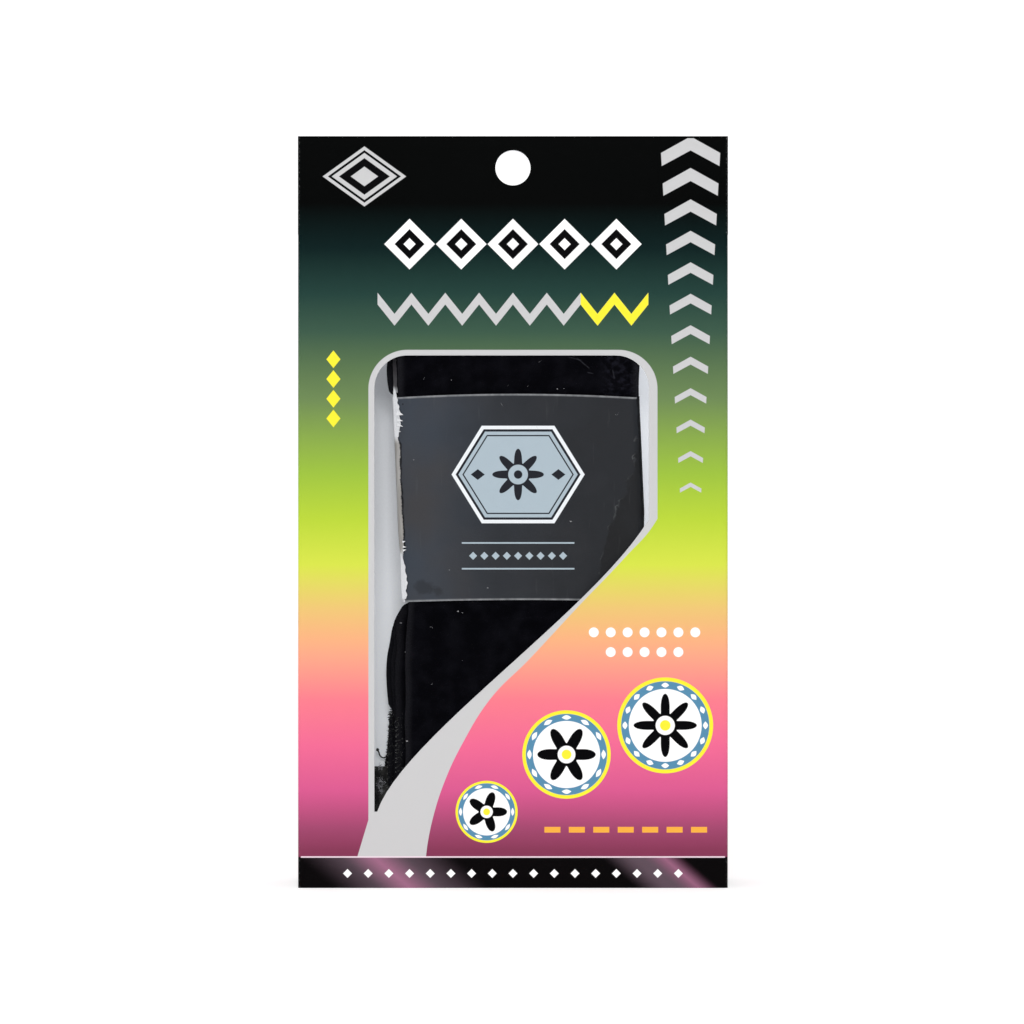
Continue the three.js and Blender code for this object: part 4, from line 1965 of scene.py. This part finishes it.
@dataclass
class TornFlakes:
    """Ragged white paper that has peeled from the sleeve's left fold."""

    stack: FoldedStack
    sleeve: PaperSleeve
    thickness: float = 0.12 * MM
    proud: float = 0.35 * MM
    sliver_foot: float = 105.6 * MM
    sliver_top: float = 113.6 * MM
    sliver_width: float = 0.8 * MM
    sliver_left: tuple[float, float] = (-25.5 * MM, -25.75 * MM)
    flake_steps_across: int = 8
    flake_steps_per_mm: int = 5
    sliver_steps: tuple[int, int] = (4, 40)

    # Each flake: its foot and top heights, its widest reach over the front, and its fraying, in millimetres
    FLAKES: ClassVar[Rows] = (
        (96.0, 107.0, 1.05, 0.45),
        (61.4, 71.2, 1.0, 0.45),
    )
    # Each shard: its height, reach and rise, and its width at the root, in millimetres
    SHARDS: ClassVar[Rows] = (
        (101.2, 1.35, -0.5, 1.5), (99.7, 1.25, -0.3, 0.9), (98.7, 1.2, -0.5, 0.8), (97.1, 0.7, 0.1, 0.5),
        (73.6, 0.6, 0.2, 0.6), (72.6, 0.8, -0.1, 0.5), (71.8, 0.7, 0.2, 0.6),
    )

    def build_flake(self, number: int, foot: float, top: float, reach: float, fray: float) -> Object:
        """Models one flake as a bent strip of paper with a frayed front edge.

        Args:
            number: Which flake it is.
            foot: Its lower end, in millimetres above the base.
            top: Its upper end, in millimetres.
            reach: How far it lies over the front at its widest, in millimetres.
            fray: How far its edge wanders, in millimetres.

        Returns:
            The flake.
        """
        def surface(across: float, up: float) -> Vector:
            """Gives the flake's surface.

            Args:
                across: The share of its width.
                up: The share of its height.

            Returns:
                The point.
            """
            height = mix(foot, top, up) * MM
            swell = math.sin(math.pi * mix(0.06, 0.985, up) ** 0.72) ** 0.8
            torn = wander(Vector((0.0, 0.0, height)), 0.9 * MM, number * 5.0 + 1.0) * fray * MM
            far = max(reach * MM * swell + torn * swell, 0.1 * MM)
            lean = self.stack.sleeve_lean(height)
            left = lean - self.sleeve.half_width - self.sleeve.paper / 2
            front = -self.sleeve.half_depth - self.sleeve.paper / 2 - 0.1 * MM
            start = -self.proud * swell * (0.7 + 0.3 * wander(Vector((height, 0.0, 0.0)), 2 * MM, 7.0))
            x = left + mix(start, far, across)
            curl = max(left + 0.9 * MM - x, 0.0)
            return Vector((x, front + curl * 0.55, height))

        steps = int((top - foot) * self.flake_steps_per_mm)
        return sheet(f"torn_flake_{number}", self.flake_steps_across, steps, surface, self.thickness)

    def build_sliver(self) -> Object:
        """Models the long strip of paper that stands up behind the front layer's left edge.

        Returns:
            The strip.
        """
        def surface(across: float, up: float) -> Vector:
            """Gives the strip's surface.

            Args:
                across: The share of its width.
                up: The share of its height.

            Returns:
                The point.
            """
            height = mix(self.sliver_foot, self.sliver_top, up)
            torn = wander(Vector((across, 0.0, height)), 2 * MM, 3.0) * 0.12 * MM
            x = mix(*self.sliver_left, up) + across * self.sliver_width * mix(1.0, 0.9, up) + torn
            depth = mix(self.stack.depth_at(0, height), self.stack.depth_at(1, height), 0.46)
            return Vector((x, depth, height))

        return sheet("torn_sliver", *self.sliver_steps, surface, self.thickness)

    def build(self, finish: Material) -> None:
        """Builds and dresses the flakes, the sliver and the shards as one piece.

        Args:
            finish: Their material.
        """
        flakes = [self.build_flake(i + 1, *row) for i, row in enumerate(self.FLAKES)]
        shards = Strands()
        front = -self.sleeve.half_depth - self.sleeve.paper - 0.06 * MM
        for height, reach, rise, width in self.SHARDS:
            left = self.stack.sleeve_lean(height * MM) - self.sleeve.half_width
            root = Vector((left + 0.35 * MM, front, height * MM))
            shards.add(root, root + Vector((reach, -0.1, rise)) * MM, width * MM)
        pieces = [*flakes, self.build_sliver(), shards.build("torn_shards")]
        register(join(pieces, "torn_flakes"), finish, "sleeve_paper")


@dataclass
class Lint:
    """Specks and short fibres that cling to the velvet and the sleeve.

    The specks' size and the limits left and right are in millimetres.
    """

    stack: FoldedStack
    specks: int = 9
    speck_size: float = 0.16
    spokes: int = 6
    spoke_width: float = 0.16 * MM
    fibres: int = 26
    fibre_width: float = 0.035 * MM
    snag_fibres: int = 46
    snag_width: float = 0.1 * MM
    left: float = -22.0
    right: float = 26.0

    # The heights between which loose bits lie, in millimetres; the band below the sleeve holds most
    BANDS: ClassVar[Rows] = (
        (106.0, 112.5), (19.0, 59.0), (19.0, 59.0), (19.0, 59.0), (62.0, 104.0),
    )
    # The larger bits, each with its place across and up and its size, in millimetres
    BITS: ClassVar[Rows] = (
        (-23.0, 50.0, 0.34), (-22.6, 31.2, 0.45), (-24.0, 56.2, 0.45), (12.3, 78.0, 0.36),
        (-5.4, 63.8, 0.26), (-11.7, 58.8, 0.36), (-10.8, 58.5, 0.22), (9.5, 106.3, 0.3),
    )
    # Pale tufts caught in the hook tab, each with its place across and up and its size, in millimetres
    SNAGS: ClassVar[Rows] = (
        (-28.9, 24.6, 0.7), (-28.7, 21.7, 0.75), (-28.9, 20.5, 0.8), (-28.6, 19.4, 0.5), (-26.4, 23.9, 0.5),
    )

    def front_at(self, x: float, height: float) -> float:
        """Reads how far forward the bundle's face lies.

        Args:
            x: The place across.
            height: The height.

        Returns:
            The place along y, just in front of the face.
        """
        edge = self.stack.lean_at(0, height) - self.stack.band_width / 2 + 0.3 * MM
        face = self.stack.depth_at(0 if x > edge else 1, height) - self.stack.band_thickness / 2
        if self.stack.sleeve_foot < height < self.stack.sleeve_top:
            face = -self.stack.cinched_depth / 2 - self.stack.clearance - 0.34 * MM
        return face - 0.04 * MM

    def build(self, finish: Material) -> None:
        """Builds and dresses the lint.

        Args:
            finish: Its material.
        """
        draw = random.Random(SEED + 2)
        strands = Strands()
        for _ in range(self.fibres):
            low, high = draw.choice(self.BANDS)
            height = draw.uniform(low, high) * MM
            x = draw.uniform(self.left, self.right) * MM
            root = Vector((x, self.front_at(x, height), height))
            turn = draw.uniform(0.0, math.tau)
            reach = draw.uniform(0.4, 1.3) * MM
            middle = root + Vector((math.cos(turn), -0.04, math.sin(turn))) * reach * 0.5
            bend = turn + draw.uniform(-1.2, 1.2)
            tip = middle + Vector((math.cos(bend), -0.02, math.sin(bend))) * reach * 0.5
            strands.add(middle, root, self.fibre_width)
            strands.add(middle, tip, self.fibre_width)
        bits = list(self.BITS)
        for _ in range(self.specks):
            across = draw.uniform(self.left, self.right)
            bits.append((across, draw.uniform(*draw.choice(self.BANDS)), self.speck_size))
        for across, up, size in bits:
            centre = Vector((across * MM, self.front_at(across * MM, up * MM), up * MM))
            for spoke in range(self.spokes):
                angle = spoke * 1.05 + draw.uniform(-0.5, 0.5)
                reach = size * draw.uniform(0.5, 1.0) * MM
                tip = centre + Vector((math.cos(angle), -0.15, math.sin(angle) * 0.6)) * reach
                strands.add(centre, tip, self.spoke_width)
        last = len(self.stack.layers) - 1
        for across, up, size in self.SNAGS:
            face = self.stack.depth_at(last, up * MM) - self.stack.band_thickness / 2
            face -= self.stack.clearance + self.stack.tab_thickness
            for _ in range(self.snag_fibres):
                spot = Vector((draw.gauss(0.0, 0.5), draw.uniform(-0.2, 0.1), draw.gauss(0.0, 0.5))) * size
                root = Vector((across, face / MM, up)) + spot
                way = Vector((draw.uniform(-1.0, 1.0), draw.uniform(-0.3, 0.1), draw.uniform(-1.0, 1.0)))
                strands.add(root * MM, (root + way * size * 0.6) * MM, self.snag_width)
        register(strands.build("lint"), finish, "velvet")


@dataclass
class Carton:
    """The window carton, whose construction solid is kept and printed."""

    node: str = "carton"

    def build(self, frame: dict, finish: Material) -> None:
        """Dresses the carton's node.

        Args:
            frame: The loaded frame.
            finish: The printed board.
        """
        solid = frame["nodes"][self.node]
        solid.data.materials.clear()
        solid.data.materials.append(finish)
        LOG.info("%s: %d faces", self.node, len(solid.data.polygons))


@dataclass
class Studio:
    """The white floor with its raised rim, the lights and the camera.

    The lens and its sensor are in millimetres.
    """

    panel_height: float = 160 * MM
    panel_depth: float = 20 * MM
    panel_pixels: float = 752.0
    image_pixels: float = 1024.0
    lens: float = 120.0
    sensor: float = 36.0
    camera_shift: float = -0.2 * MM
    floor_radius: float = 1.5
    floor_sides: int = 72
    rim_height: float = 1.1
    rim_steps: int = 10
    surround: float = 0.38

    # Each lamp: its name, place, size and power
    LAMPS: ClassVar[tuple[tuple[str, tuple[float, float, float], float, float], ...]] = (
        ("key", (0.02, -1.3, 0.6), 0.36, 6.9),
        ("fill", (-0.7, -0.8, 0.5), 0.7, 1.0),
    )

    def build_floor(self, finish: Material) -> None:
        """Models the floor as a disc whose rim is drawn up in a soft sweep.

        Args:
            finish: Its material.
        """
        bpy.ops.object.select_all(action="DESELECT")
        bpy.ops.mesh.primitive_circle_add(
            vertices=self.floor_sides, radius=self.floor_radius, fill_type="NGON")
        floor = bpy.context.active_object
        floor.name = "studio_floor"
        bpy.ops.object.mode_set(mode="EDIT")
        bpy.ops.mesh.select_all(action="SELECT")
        bpy.ops.mesh.region_to_loop()
        radius = self.floor_radius
        for i in range(self.rim_steps):
            low = math.pi / 2 * i / self.rim_steps
            high = math.pi / 2 * (i + 1) / self.rim_steps
            rise = (math.cos(low) - math.cos(high)) * self.rim_height
            wider = radius + (math.sin(high) - math.sin(low)) * self.rim_height
            bpy.ops.mesh.extrude_region_move(TRANSFORM_OT_translate={"value": (0.0, 0.0, rise)})
            bpy.ops.transform.resize(value=(wider / radius, wider / radius, 1.0),
                                     center_override=(0.0, 0.0, 0.0))
            radius = wider
        bpy.ops.mesh.select_all(action="SELECT")
        bpy.ops.mesh.normals_make_consistent(inside=True)
        bpy.ops.object.mode_set(mode="OBJECT")
        bpy.ops.object.shade_smooth_by_angle(angle=math.radians(30))
        floor.data.materials.append(finish)

    def build_lights(self) -> None:
        """Adds a white surround and two soft lamps in front."""
        world = bpy.data.worlds.new("studio_white")
        world.use_nodes = True
        back = world.node_tree.nodes["Background"]
        back.inputs["Color"].default_value = (1.0, 1.0, 1.0, 1.0)
        back.inputs["Strength"].default_value = self.surround
        bpy.context.scene.world = world
        for name, place, size, power in self.LAMPS:
            lamp = bpy.data.lights.new(name, "AREA")
            lamp.energy = power
            lamp.size = size
            obj = bpy.data.objects.new(name, lamp)
            bpy.context.scene.collection.objects.link(obj)
            obj.location = place
            aim = Vector((0.0, 0.0, self.panel_height / 2)) - Vector(place)
            obj.rotation_euler = aim.to_track_quat("-Z", "Y").to_euler()

    def build_camera(self) -> None:
        """Places the camera straight in front, so that the panel has the photograph's size."""
        view_width = self.panel_height * self.image_pixels / self.panel_pixels
        distance = view_width * self.lens / self.sensor
        data = bpy.data.cameras.new("camera")
        data.lens = self.lens
        data.sensor_width = self.sensor
        data.clip_start = 0.01
        camera = bpy.data.objects.new("camera", data)
        bpy.context.scene.collection.objects.link(camera)
        camera.location = (self.camera_shift, -self.panel_depth / 2 - distance, self.panel_height / 2)
        camera.rotation_euler = (math.radians(90), 0.0, 0.0)
        bpy.context.scene.camera = camera

    def build(self, finish: Material) -> None:
        """Builds the whole studio.

        Args:
            finish: The floor's material.
        """
        self.build_camera()
        self.build_lights()
        self.build_floor(finish)
        bpy.context.scene.view_settings.view_transform = "Standard"


def main() -> None:
    """Builds the dressed part round the loaded frame."""
    logging.basicConfig(level=logging.INFO, format="%(name)s %(message)s")
    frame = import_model()
    textures = SharedTextures.build()
    finishes = {
        Finish.VELVET: VelvetFinish().make(textures),
        Finish.FUZZ: FibreFinish("velvet_fibre", srgb(14, 14, 18), srgb(34, 34, 40)).make(textures),
        Finish.THREAD: FibreFinish("stitch_thread", srgb(9, 10, 10), srgb(44, 46, 43)).make(textures),
        Finish.LINT: FibreFinish("lint_fibre", srgb(120, 120, 124), srgb(190, 190, 194)).make(textures),
        Finish.HOOKS: TapeFinish("hook_tape", srgb(10, 11, 11), srgb(82, 82, 78)).make(textures),
        Finish.LOOPS: TapeFinish("loop_tape", srgb(14, 14, 16), srgb(36, 36, 40)).make(textures),
        Finish.SLEEVE: SleeveFinish().make(textures),
        Finish.TORN_PAPER: PulpFinish().make(textures),
        Finish.BOARD: BoardFinish().make(textures),
        Finish.FLOOR: FloorFinish().make(textures),
    }
    Studio().build(finishes[Finish.FLOOR])
    Carton().build(frame, finishes[Finish.BOARD])

    stack = FoldedStack()
    VelvetBand(stack).build(finishes)
    hook = FastenerTab(stack, "hook", "hook_tab", layer=len(stack.layers) - 1, face=Face.FRONT,
                       foot=stack.foot + stack.hook_foot_height, shift=stack.hook_shift)
    hook.build(finishes[Finish.HOOKS], "hook_tape")
    loop = FastenerTab(stack, "loop", "loop_tab", layer=0, face=Face.BACK,
                       foot=stack.top - stack.tab_height, shift=0.0)
    loop.build(finishes[Finish.LOOPS], "loop_tape")
    Stitching(stack).build(finishes[Finish.THREAD])
    sleeve = PaperSleeve(stack)
    sleeve.build(finishes[Finish.SLEEVE])
    TornFlakes(stack, sleeve).build(finishes[Finish.TORN_PAPER])
    Lint(stack).build(finishes[Finish.LINT])


if __name__ == "__main__":
    main()
